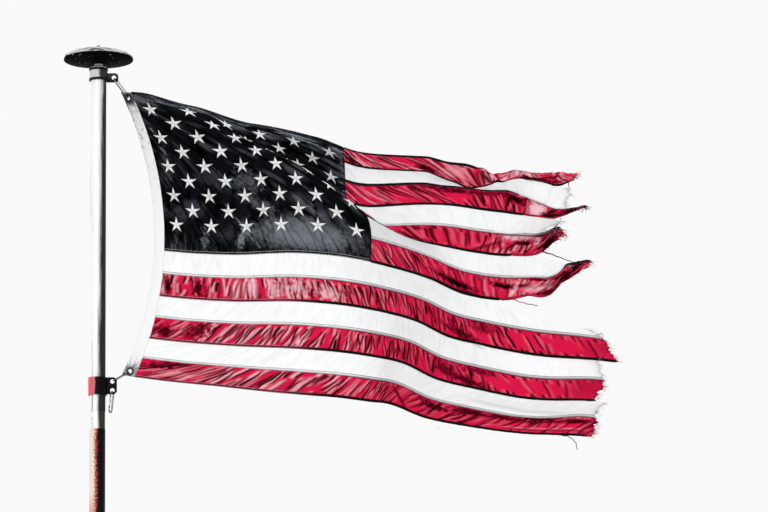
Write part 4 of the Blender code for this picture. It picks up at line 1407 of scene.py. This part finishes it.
    @staticmethod
    def normal(at: Surface, fly: np.ndarray, drop: np.ndarray, near: float) -> np.ndarray:
        """Unit normal towards -Y of the surface at(fly, drop), from steps of near to each side."""
        across = at(fly + near, drop) - at(fly - near, drop)
        down = at(fly, drop + near) - at(fly, drop - near)
        return unit(np.cross(down, across))

    def skin(self, stripe: int, fly: np.ndarray, drop: np.ndarray, kind: int | None = None) -> np.ndarray:
        """The wrinkled cloth: the flown surface plus its relief along the normal.

        Args:
            stripe: whose streamer and curl to take.
            fly: flat distances.
            drop: flat distances.
            kind: whose relief to take, if not the stripe's own.

        Returns:
            Points (..., 3).
        """
        fly, drop = paired(fly, drop)
        kind = stripe if kind is None else kind
        height, _ = self.relief(kind, fly, drop)
        smooth = lambda a, b: self.flown(stripe, a, b)
        return smooth(fly, drop) + self.normal(smooth, fly, drop, SKIN_STEP) * height[..., None]

    def frame(self, stripe: int, fly: np.ndarray, drop: np.ndarray) -> ThreeArrays:
        """Skin point, unit normal towards -Y and unit fly direction at each flat place."""
        fly, drop = paired(fly, drop)
        at = lambda a, b: self.skin(stripe, a, b)
        along = unit(at(fly + FRAME_STEP, drop) - at(fly - FRAME_STEP, drop))
        return at(fly, drop), self.normal(at, fly, drop, FRAME_STEP), along


# --- sewn pieces -------------------------------------------------------------------
@dataclass
class StripePanel:
    """One stripe of nylon with its torn end."""

    number: int
    surface: FlagSurface
    step: float = 0.0026
    rows: int = 30

    @property
    def red(self) -> bool:
        """Whether the stripe is a red one."""
        return self.number % 2 == 1

    def end(self, down: np.ndarray) -> np.ndarray:
        """Fly length left at each share of the way down: its reach, plus ragged teeth of three sizes."""
        reach = REACHES[self.number - 1]
        ragged = sum(deep * rolling(down * often, LEVEL, seed + self.number)
                     for deep, often, seed in ((0.009, 2.3, 600), (0.006, 6.1, 620), (0.006, 15.0, 640)))
        return reach.top + (reach.bottom - reach.top) * down + 4 * reach.bulge * down * (1 - down) + ragged

    def top_lost(self, fly: np.ndarray) -> np.ndarray:
        """Share of the stripe torn off its upper edge at each fly."""
        reach = REACHES[self.number - 1]
        if not reach.torn:
            return np.zeros_like(fly)
        lost = reach.torn * eased((fly - reach.torn_from) / 0.37) ** 0.7
        ragged = 0.10 * Waves.LOST_EDGE.at(fly, LEVEL) + 0.06 * Waves.LOST_TEETH.at(fly, LEVEL)
        most = 0.93
        return np.clip(lost + ragged * eased(lost / 0.15), 0, most)

    def flat(self, along: np.ndarray, down: np.ndarray) -> tuple[np.ndarray, np.ndarray]:
        """Flat fly and drop at shares along and down the stripe."""
        pattern = self.surface.pattern
        start = pattern.start(self.number) + pattern.seam_gap
        fly = start + along * (self.end(down) - start)
        lost = self.top_lost(fly)
        drop = (self.number - 1 + lost + (1 - lost) * down) * pattern.stripe
        return fly, drop + pattern.seam_gap * (1 - 2 * down)

    def build(self) -> bpy.types.Object:
        """The stripe: a grid over its shares along and down, laid on the skin.

        Returns:
            The piece.
        """
        pattern = self.surface.pattern
        columns = int((self.end(np.array([0.5]))[0] - pattern.start(self.number)) / self.step)
        along, down = np.meshgrid(np.linspace(0, 1, columns), np.linspace(0, 1, self.rows))
        fly, drop = self.flat(along, down)
        _, tone = self.surface.relief(self.number, fly, drop)
        tone[..., 2] = np.clip(0.8 * np.exp((fly - self.end(down)) / 0.006), 0, 1)
        node = stripe_node(self.number)
        mesh = cloth_mesh("cloth_" + node, self.surface.skin(self.number, fly, drop), fly, drop, tone)
        finish = NYLON_RED if self.red else NYLON_WHITE
        return place_piece("cloth_" + node, mesh, finish, node, stands_for=node, thick=pattern.cloth_thick)

    def flat_size(self) -> tuple[float, float]:
        """Width and length of the stripe as it was cut."""
        pattern = self.surface.pattern
        return pattern.stripe, float(self.end(np.linspace(0, 1, 200)).max()) - pattern.start(self.number)

    def flat_area(self) -> float:
        """Area left of the stripe, laid flat."""
        rows = 60
        fly, drop = self.flat(*np.meshgrid(np.linspace(0, 1, 400), np.linspace(0, 1, rows)))
        heights = drop[-1] - drop[0]
        return float(np.sum(0.5 * (heights[1:] + heights[:-1]) * np.diff(fly[rows // 2])))


def stripe_node(number: int) -> str:
    """The CAD node of a stripe and its material slot; the canton's hems and seams use the first stripe's."""
    return f"stripe_{max(number, 1):02d}"


@dataclass
class Canton:
    """The blue field."""

    surface: FlagSurface
    columns: int = 240
    rows: int = 188

    def build(self) -> bpy.types.Object:
        """A grid over the field, laid on the skin."""
        pattern = self.surface.pattern
        gap = pattern.seam_gap
        fly, drop = np.meshgrid(np.linspace(gap, pattern.canton_width - gap, self.columns),
                                np.linspace(gap, pattern.canton_stripes * pattern.stripe - gap, self.rows))
        _, tone = self.surface.relief(0, fly, drop)
        mesh = cloth_mesh("cloth_canton", self.surface.skin(0, fly, drop), fly, drop, tone)
        return place_piece("cloth_canton", mesh, NYLON_BLUE, "canton", stands_for="canton",
                           thick=pattern.cloth_thick)


@dataclass
class Heading:
    """The canvas heading with its two eyes left open for the grommets."""

    surface: FlagSurface
    eye: float = 0.0078
    columns: int = 19
    rows: int = 461

    def build(self) -> bpy.types.Object:
        """A grid down the heading whose faces near a grommet are pushed out to a round eye.

        Every point closer to a grommet than the eye's radius moves straight
        out to it, and the faces left with no area are dropped.

        Returns:
            The piece.
        """
        pattern = self.surface.pattern
        fly, drop = np.meshgrid(np.linspace(-pattern.heading_width, -pattern.seam_gap, self.columns),
                                np.linspace(pattern.seam_gap, pattern.hoist - pattern.seam_gap, self.rows))
        faces = grid_faces(self.rows, self.columns)
        inside = np.zeros(fly.shape, bool)
        for centre in pattern.eye_drops:
            off = np.stack([fly - pattern.eye_fly, drop - centre], -1)
            out = np.linalg.norm(off, axis=-1)
            near = out < self.eye
            inside |= near
            scale = np.where(near, self.eye / np.maximum(out, 1e-5), 1.0)
            fly = pattern.eye_fly + off[..., 0] * scale
            drop = centre + off[..., 1] * scale
        faces = faces[~np.all(inside.ravel()[faces], 1)]
        points = self.surface.skin(0, fly, drop, -1).reshape(-1, 3)
        _, tone = self.surface.relief(-1, fly, drop)
        # soil channel: darker towards the top, painted shade along the outer edge, smudges, and darker at the
        # foot
        top = np.exp(-drop / 0.16)
        outer = np.exp(-(fly + pattern.heading_width) / 0.006)
        smudge = eased(Waves.SMUDGES.at(fly, drop) * 2 - 0.5) * bell(drop - 0.15, 0.10)
        ends = bell(drop - pattern.hoist, 0.05)
        tone[..., 2] = np.clip(0.45 * top + 0.6 * outer * (0.15 + top) + 0.8 * smudge + 0.4 * ends, 0, 1)
        used = np.unique(faces)
        number = np.zeros(len(points), int)
        number[used] = np.arange(len(used))
        mesh = mesh_from("cloth_heading", points[used], [number[faces]],
                         np.stack([fly, drop], -1).reshape(-1, 2)[used], tone.reshape(-1, 3)[used])
        return place_piece("cloth_heading", mesh, CANVAS, "heading", stands_for="heading",
                           thick=pattern.heading_thick)


HALF_ARM = math.pi / 5


@dataclass
class Stars:
    """Fifty sewn stars in nine rows, standing through the canton on both sides."""

    surface: FlagSurface
    radius: float = 0.0258
    first: Range = (0.040, 0.056)
    pitch: Range = (0.0546, 0.0442)
    base: float = 0.00055
    proud: float = 0.0011
    rim: float = 0.0003
    notch: float = 0.33
    rings: int = 7
    spokes: int = 50

    def centres(self) -> np.ndarray:
        """Flat centres (50, 2): eleven columns by nine rows, every other place."""
        column, row = np.meshgrid(np.arange(11), np.arange(9))
        kept = (column + row) % 2 == 0
        return np.array(self.first) + np.stack([column[kept], row[kept]], -1) * self.pitch

    def outline(self, folded: np.ndarray) -> np.ndarray:
        """Radius of a five-pointed star at each angle from its nearest point, 1 at that point.

        A star's side is the straight line from a point at 0 degrees to a notch
        at 36 degrees; its radius is k / cos(angle - tilt).
        """
        run = np.array([self.notch * math.cos(HALF_ARM) - 1, self.notch * math.sin(HALF_ARM)])
        square = np.array([run[1], -run[0]]) / np.hypot(*run)
        return abs(square[0]) / np.abs(np.cos(folded) * square[0] + np.sin(folded) * square[1])

    def build(self) -> bpy.types.Object:
        """Both faces of every star as one mesh.

        Each face is rings of points at shares 0..1 of the outline, ridged
        along the arms; the back face mirrors it and they meet at the rim.

        Returns:
            The piece.
        """
        share = np.linspace(0, 1, self.rings) ** 0.8
        angle = 2 * math.pi * np.arange(self.spokes) / self.spokes
        folded = np.abs((angle + HALF_ARM) % (2 * HALF_ARM) - HALF_ARM)
        reach = self.outline(folded) * self.radius
        turn = angle - math.pi / 2
        flat = share[:, None, None] * (reach[:, None] * np.stack([np.cos(turn), np.sin(turn)], -1))[None]
        arm = folded / HALF_ARM
        ridge = 1 - 0.55 * arm
        dome = np.sqrt(np.clip(1 - share ** 2, 0, 1))[:, None] * ridge
        places = self.centres()[:, None, None] + flat[None]
        fly, drop = places[..., 0], places[..., 1]
        base, normal, _ = self.surface.frame(0, fly, drop)
        lift = self.base + self.proud * dome
        lift[-1] = self.rim
        front, back = base + normal * lift[..., None], base - normal * lift[..., None]
        per = self.rings * self.spokes
        quads = grid_faces(self.rings, self.spokes, closed=True)
        rim_a = (self.rings - 1) * self.spokes + np.arange(self.spokes)
        rim = np.stack([rim_a, np.roll(rim_a, -1), np.roll(rim_a, -1) + per, rim_a + per], -1)
        faces = np.concatenate([quads, quads[:, ::-1] + per, rim[:, ::-1]])
        start = (2 * per * np.arange(len(base)))[:, None, None]
        points = np.stack([front, back], 1).reshape(-1, 3)
        _, ground = self.surface.relief(0, fly, drop)
        dull = eased((fly - 0.30) / 0.25) * eased((0.24 - drop) / 0.12)
        # groove is painted shade in the valleys from the centre to each notch; the canton's painted shade and
        # highlight carry onto the stars
        edge, groove = (share ** 6)[:, None] * 0.45, bell(arm - 1.0, 0.30) * 0.65
        tone = np.stack([np.clip(0.35 * ground[..., 0] + groove + 0.2 * edge, 0, 1), 0.2 * ground[..., 1],
                         np.clip(0.55 * dull + edge, 0, 1)], -1)
        tone = np.repeat(tone[:, None], 2, 1).reshape(-1, 3)
        uv = np.repeat(places[:, None], 2, 1).reshape(-1, 2)
        mesh = mesh_from("stars", points, [(start + faces[None]).reshape(-1, 4)], uv, tone)
        return place_piece("stars", mesh, STAR_WHITE, "canton")


class SeamKind(Enum):
    """How a seam shows: stitched grey along a white edge, or turned under a red one and painted dark as
    shade.
    """

    GREY = "grey"
    DARK = "dark"


@dataclass
class Seam:
    """A felled seam between two panels, or a hem: a band with two rows of stitches."""

    name: str
    stripe: int
    drop: float
    span: Range
    kind: SeamKind
    surface: FlagSurface
    proud: float = 0.0012
    cloth: Finish | None = None
    sewn: Finish | None = None
    width: float = 0.0080
    step: float = 0.0036
    pitch: float = 0.0046
    row: float = 0.38
    bead: Triple = (0.0020, 0.0011, 0.0008)

    @property
    def shift(self) -> float:
        """Where the band's middle lies below the seam's line."""
        return -0.0036 if self.kind is SeamKind.GREY else -0.0024

    def build(self) -> tuple[bpy.types.Object, bpy.types.Object]:
        """The band and its stitches.

        Returns:
            Both pieces.
        """
        count = max(4, int((self.span[1] - self.span[0]) / self.step))
        fly, across = np.meshgrid(np.linspace(*self.span, count), np.linspace(-0.5, 0.5, 4))
        taper = np.minimum(1.0, 0.35 + eased((self.span[1] - fly) / 0.02))
        drop = self.drop + self.shift + across * self.width * taper
        mesh = cloth_mesh(self.name, self.surface.skin(self.stripe, fly, drop), fly, drop)
        pale = SEAM_GREY if self.stripe > self.surface.pattern.canton_stripes else SEAM_TORN
        # a DARK seam's band is painted dark as shade
        finish = self.cloth or (pale if self.kind is SeamKind.GREY else SEAM_DARK)
        band = place_piece(self.name, mesh, finish, stripe_node(self.stripe), thick=2 * self.proud)
        return band, self.stitches()

    def stitches(self) -> bpy.types.Object:
        """Two rows of stitches on each face: a six-pointed bead turned to the skin at every pitch."""
        fly = np.arange(self.span[0] + 0.003, self.span[1] - 0.004, self.pitch)
        fly, row = np.meshgrid(fly, (-self.row, self.row))
        drop = self.drop + self.shift + row * self.width
        base, normal, along = self.surface.frame(self.stripe, fly.ravel(), drop.ravel())
        beads = np.kron(np.eye(3), [[1], [-1]]) * self.bead
        faces = np.array([[0, 2, 4], [2, 1, 4], [1, 3, 4], [3, 0, 4],
                          [2, 0, 5], [1, 2, 5], [3, 1, 5], [0, 3, 5]])
        axes = np.stack([along, np.cross(normal, along), normal], 1)
        centres = np.concatenate([base + sign * normal * self.proud for sign in (1, -1)])
        points = (centres[:, None] + beads @ np.concatenate([axes, axes])).reshape(-1, 3)
        every = (6 * np.arange(len(points) // 6)[:, None, None] + faces[None]).reshape(-1, 3)
        name = self.name + "_stitches"
        finish = self.sewn or (STITCH_PINK if self.kind is SeamKind.DARK else STITCH_DARK)
        return place_piece(name, mesh_from(name, points, [every]), finish, stripe_node(self.stripe))


@dataclass
class Fringe:
    """Yarns frayed out of one stripe's torn end."""

    panel: StripePanel
    count: int = 90
    longest: float = 0.020
    sag: Triple = (0.0, 0.0, -0.3)

    def build(self) -> bpy.types.Object:
        """Short tubes that leave the end along the fly and drift off it.

        Each runs base + s*length*(along + spread) + s^2*length/2*bend.

        Returns:
            The piece.
        """
        panel, surface = self.panel, self.panel.surface
        lucky = np.random.default_rng(900 + panel.number)
        down = np.sort(lucky.uniform(0.01, 0.99, self.count))
        start_fly, start_drop = panel.flat(np.full(self.count, 0.9995), down)
        base, normal, along = surface.frame(panel.number, start_fly, start_drop)
        length = self.longest * lucky.uniform(0.12, 1.0, self.count) ** 2.2 + 0.002
        side = np.cross(normal, along)
        each = (self.count, 1)
        spread = side * lucky.normal(0, 0.45, each) + normal * lucky.normal(0, 0.25, each)
        bend = side * lucky.normal(0, 0.5, each) + normal * lucky.normal(0, 0.4, each) + np.array(self.sag)
        s = np.linspace(-0.08, 1, 9)[None, :, None]
        paths = (base[:, None] + s * length[:, None, None] * unit(along + spread)[:, None]
                 + np.clip(s, 0, 1) ** 2 * length[:, None, None] * 0.5 * bend[:, None])
        radius = lucky.uniform(0.00022, 0.00045, each) * np.linspace(1.0, 0.5, 9)[None]
        name = f"fringe_{panel.number:02d}"
        finish = YARN_RED if panel.red else YARN_WHITE
        return place_piece(name, tube_mesh(name, paths, radius, 5), finish, stripe_node(panel.number))


@dataclass(frozen=True)
class LooseThread:
    """A thread or strip of hem torn half off: it leaves a stripe at fly, down and follows steps, in mm."""

    stripe: int
    fly: float
    down: float
    thick: float
    finish: Finish
    steps: tuple[tuple[int, int, int], ...]
    waver: float = 0.0012

    def build(self, name: str, surface: FlagSurface) -> bpy.types.Object:
        """A tapering tube on a smooth curve through its steps.

        Args:
            name: the piece's name.
            surface: the flag's skin, which it leaves.

        Returns:
            The piece.
        """
        drop = (self.stripe - 1 + self.down) * surface.pattern.stripe
        root = surface.skin(self.stripe, np.array([self.fly]), np.array([drop]))[0]
        stops = np.array([(-2, 0, 0), (0, 0, 0), *self.steps]) / 1000
        at = np.arange(len(stops), dtype=float)
        where = np.linspace(0, at[-1], 8 * len(stops))
        path = np.stack([curve_through(at, stops[:, axis], where) for axis in range(3)], -1)
        wave = np.sin(where[:, None] * (5.1, 4.3, 6.2) + self.fly * 40) * np.clip(where[:, None] - 1, 0, 1)
        radius = 0.5 * self.thick * np.linspace(1.1, 0.6, len(where))
        mesh = tube_mesh(name, (root + path + self.waver * wave)[None], radius[None])
        return place_piece(name, mesh, self.finish, stripe_node(self.stripe))


THREADS = table(
    LooseThread,
    (1, 1.195, 0.8, 0.0026, YARN_DARK, ((4, -4, -8), (5, -6, -18), (9, -6, -29))),
    (1, 1.105, 0.25, 0.002, YARN_RED, ((12, -4, 4), (24, -4, 11))),
    (1, 1.15, 0.3, 0.0018, YARN_RED, ((9, -3, 6), (19, -3, 4))),
    (1, 1.165, 0.7, 0.0018, YARN_RED, ((9, -3, -4), (18, -3, -3))),
    (3, 1.2, 0.15, 0.004, YARN_DARK, ((16, -5, 1), (34, -6, 3), (52, -6, 12))),
    (3, 1.24, 0.5, 0.0046, YARN_DARK, ((10, -4, 1), (22, -4, 3), (28, -4, -3))),
    (3, 1.255, 0.6, 0.0022, YARN_DARK, ((2, -4, -7), (-3, -4, -14))),
    (3, 1.225, 0.4, 0.0022, YARN_DARK, ((6, -4, 5), (14, -4, 7))),
    (5, 1.125, 0.05, 0.005, YARN_DARK, ((24, -6, 3), (48, -10, 17), (70, -12, 48))),
    (5, 1.155, 1, 0.004, YARN_DARK, ((24, -5, -9), (50, -6, -19), (80, -6, -31))),
    (7, 1.265, 0.15, 0.0034, YARN_DARK, ((12, -4, 5), (22, -4, 5), (36, -4, 6))),
    (7, 1.262, 0.1, 0.0026, YARN_DARK, ((2, -4, 9), (7, -4, 12), (11, -4, 4))),
    (7, 1.25, 0.1, 0.0024, YARN_DARK, ((-4, -4, 9), (0, -4, 14))),
    (7, 1.085, 1, 0.0036, YARN_RED, ((22, -5, -9), (45, -6, -16), (72, -6, -20))),
    (8, 1.35, 0.85, 0.0016, YARN_RED, ((9, -3, 5), (14, -3, -4), (8, -3, -12))),
    (9, 1.32, 1, 0.003, YARN_DARK, ((20, -6, -10), (32, -8, -30), (36, -8, -54))),
    (11, 1.355, 0.15, 0.0028, YARN_DARK, ((7, -3, 1), (14, -3, 8))),
    (11, 1.345, 0.55, 0.0014, YARN_RED, ((8, -2, 1), (16, -2, -4))),
    (13, 1.275, 1, 0.003, YARN_DARK, ((20, -4, -4), (36, -5, -12), (46, -5, -26), (50, -5, -44))),
)


# by seam: the fly at which its cloth turns, the cloth before and the cloth after
SEAM_TURNS: dict[int, tuple[float, Finish, Finish]] = {
    2: (1.055, SEAM_BLACK, SEAM_TORN),
    3: (1.075, SEAM_DARK, SEAM_RED),
    5: (1.060, SEAM_DARK, SEAM_RED),
    7: (1.050, SEAM_DARK, SEAM_RED),
}


@dataclass
class SewnFlag:
    """Every sewn piece of the flag, each in the cloth it is."""

    surface: FlagSurface

    def seams(self) -> list[Seam]:
        """The seams between stripes; some turn to another cloth part way along."""
        pattern = self.surface.pattern
        made = []
        for number in range(1, pattern.stripes):
            odd = number % 2
            host = number if odd else number + 1
            panel = StripePanel(host, self.surface)
            stop = float(panel.end(np.array([float(odd)]))[0]) - 0.002
            kind = SeamKind.DARK if odd else SeamKind.GREY
            drop = number * pattern.stripe
            turn, first, second = SEAM_TURNS.get(number, (stop, None, None))
            name = f"seam_{number:02d}"
            start = pattern.start(number)
            made.append(Seam(name, host, drop, (start, turn), kind, self.surface, cloth=first))
            if second:
                made.append(Seam(name + "_end", host, drop, (turn, stop), kind, self.surface, cloth=second))
        return made

    def build(self) -> None:
        """Builds seams, hems, threads, canton, stars, heading and stripes."""
        pattern = self.surface.pattern
        extras: dict[int, list[bpy.types.Object]] = {number: [] for number in range(pattern.stripes + 1)}
        for seam in self.seams():
            extras[seam.stripe].extend(seam.build())
        top, in_from_edge, thin, thick = 0.0046, 0.0012, 0.0010, 0.0012
        foot, under = pattern.hoist - in_from_edge, pattern.canton_stripes * pattern.stripe - in_from_edge
        over_canton = (0.002, pattern.canton_width)
        # the hems' bands are painted dark as shade
        for name, stripe, drop, span, *look in (
                ("hem_top", 1, top, (pattern.canton_width, 0.89), thin, SEAM_BLACK, STITCH_DARK),
                ("hem_canton", 0, top, over_canton, thin, SEAM_BLACK, STITCH_DARK),
                ("hem_under_canton", 0, under, over_canton, thick, SEAM_BLACK, STITCH_PALE),
                ("hem_foot", 13, foot, (0.0, 1.36), thin)):
            extras[stripe].extend(Seam(name, stripe, drop, span, SeamKind.DARK, self.surface, *look).build())
        for number, thread in enumerate(THREADS, 1):
            extras[thread.stripe].append(thread.build(f"thread_{number:02d}", self.surface))
        canton = Canton(self.surface).build()
        extras[0].append(Stars(self.surface).build())
        heading = Heading(self.surface).build()
        for number in range(1, pattern.stripes + 1):
            panel = StripePanel(number, self.surface)
            cloth = panel.build()
            extras[number].append(Fringe(panel).build())
            panel.flat_size()
            panel.flat_area()


# --- pole and fittings ----------------------------------------------------------------
@dataclass
class Gate:
    """The sprung bar that closes a snap link from inside its loop, pressed against one leg."""

    link: str
    radius: float = 0.0016
    wire: float = 0.0041
    half_length: float = 0.56

    def build(self) -> bpy.types.Object:
        """A straight bar beside the leg, its two ends turned in to it.

        The link's long and cross directions are the first two principal axes
        of its own corners, so the bar follows however the link hangs.

        Returns:
            The piece.
        """
        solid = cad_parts[self.link]
        corners = np.empty(3 * len(solid.data.vertices))
        solid.data.vertices.foreach_get("co", corners)
        corners = corners.reshape(-1, 3)
        centre = (corners.max(0) + corners.min(0)) / 2
        along, across, _ = np.linalg.svd(corners - corners.mean(0), full_matrices=False)[2]
        along, across = along * np.sign(along[2]), across * np.sign(across[0])
        reach = self.half_length * np.abs((corners - centre) @ along).max()
        inner = np.abs((corners - centre) @ across).max() - self.wire
        ends = np.array([(-reach - self.radius, inner), (-reach, inner - 0.9 * self.radius),
                         (reach, inner - 0.9 * self.radius), (reach + self.radius, inner)])
        path = centre + ends[:, :1] * along + ends[:, 1:] * across
        mesh = tube_mesh(f"gate_{self.link}", path[None], self.radius, 12)
        return place_piece(f"gate_{self.link}", mesh, GATE, self.link)


@dataclass
class PoleTop:
    """The carried-over pole, cap and fittings, given their finishes."""

    finishes: tuple[tuple[str, Finish], ...] = (
        ("pole_upper", TUBE), ("pole_lower", CREAM), ("pole_coupling", COUPLING), ("cap", CAP),
        ("cap_hub", RING_PALE), ("cap_stud", STEEL), ("ring_top", RING), ("bracket_low", BRACKET),
        ("link_top", STEEL), ("link_bottom", STEEL), ("link_spare", STEEL),
        ("grommet_top", BRASS), ("grommet_bottom", BRASS),
    )

    def dress(self) -> None:
        """Puts each finish on its node and a gate in each snap link."""
        for node, finish in self.finishes:
            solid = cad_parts[node]
            for slot in solid.material_slots:
                slot.material = finish.material()
            if not solid.material_slots:
                solid.data.materials.append(finish.material())
            LOG.info("%s dressed in %s", node, finish.name)
        for link in ("link_top", "link_bottom", "link_spare"):
            Gate(link).build()


# --- studio ----------------------------------------------------------------------------
@dataclass
class Studio:
    """A bright plain studio with the camera well below and far off."""

    target: Triple = (0.818, 0.0, 0.7854)
    distance: float = 14.0
    elevation: float = -11.5
    roll: float = -0.5
    lens: float = 229.5
    sensor: float = 36.0
    clip_end: float = 200.0
    floor_z: float = -4.0
    floor_reach: float = 30.0
    dim: float = 0.90
    behind: float = 0.6
    dawn: Range = (0.15, 0.85)
    tint: Colour = (0.96, 0.98, 1.0)
    backdrop: float = 0.955
    suns: tuple[tuple[str, Triple, float, float], ...] = (
        ("key", (0.35, 0.88, -0.30), 1.05, 4.0),
        ("back", (-0.15, -0.85, -0.50), 3.0, 10.0),
    )

    def camera(self) -> None:
        """Aims the camera at the target from -Y, turned by elevation and roll."""
        data = bpy.data.cameras.new("camera")
        data.lens, data.sensor_width, data.clip_end = self.lens, self.sensor, self.clip_end
        eye = in_scene("camera", data)
        tilt, roll = math.radians(self.elevation), math.radians(self.roll)
        back = Vector((0, -math.cos(tilt), math.sin(tilt)))
        right = Vector((1, 0, 0))
        up = back.cross(right)
        right, up = right * math.cos(roll) + up * math.sin(roll), up * math.cos(roll) - right * math.sin(roll)
        turn = Matrix((right, up, back)).transposed().to_4x4()
        eye.matrix_world = Matrix.Translation(Vector(self.target) + back * self.distance) @ turn
        bpy.context.scene.camera = eye

    def light(self, name: str, towards: Triple, strength: float, size: float) -> None:
        """A far soft white light shining along a direction.

        Args:
            name: the light's name.
            towards: the way its light goes.
            strength: sun strength.
            size: its angular size in degrees.
        """
        data = bpy.data.lights.new(name, "SUN")
        data.energy, data.angle = strength, math.radians(size)
        in_scene(name, data).rotation_euler = Vector(towards).to_track_quat("-Z", "Y").to_euler()

    def sky(self) -> None:
        """Sets the world: dim in front, brighter behind the cloth, and a plain backdrop for the camera."""
        world = bpy.context.scene.world = bpy.data.worlds.new("studio")
        nodes = Nodes(world)
        depth = nodes.axes(nodes.node("NewGeometry").outputs["Position"])[1]
        nodes.put(nodes.shader.inputs[0], self.tint)
        nodes.put(nodes.shader.inputs[1],
                  nodes.math("ADD", nodes.between(depth, *self.dawn, 0.0, self.behind), self.dim))
        seen = nodes.node("Background", {0: grey(self.backdrop)})
        nodes.end_in("World Output", nodes.node("LightPath").outputs["Is Camera Ray"], seen)

    def floor(self) -> None:
        """Lays a wide mottled floor far below, as scenery."""
        corners = [(x * self.floor_reach, y * self.floor_reach, self.floor_z)
                   for x, y in ((-1, -1), (1, -1), (1, 1), (-1, 1))]
        mesh = mesh_from("floor", np.array(corners), [np.array([[0, 1, 2, 3]])])
        mesh.materials.append(bpy.data.materials.new("of_floor"))
        paint = Nodes(mesh.materials[0])
        clouds = paint.between(paint.noise(paint.place(), 0.8), 0.3, 0.7)
        paint.surface(paint.mix(clouds, (0.26, 0.26, 0.25), (0.32, 0.32, 0.31)), 0.9)
        in_scene("floor", mesh)

    def build(self) -> None:
        """World, lights, floor and camera."""
        self.sky()
        for sun in self.suns:
            self.light(*sun)
        self.floor()
        self.camera()
        bpy.context.scene.view_settings.view_transform = "Standard"


def main() -> None:
    """Builds the flag, dresses the pole top and lights them, in that order."""
    logging.basicConfig(level=logging.INFO, format="%(name)s: %(message)s")
    SewnFlag(FlagSurface(FlagPattern())).build()
    PoleTop().dress()
    Studio().build()


if __name__ == "__main__":
    main()
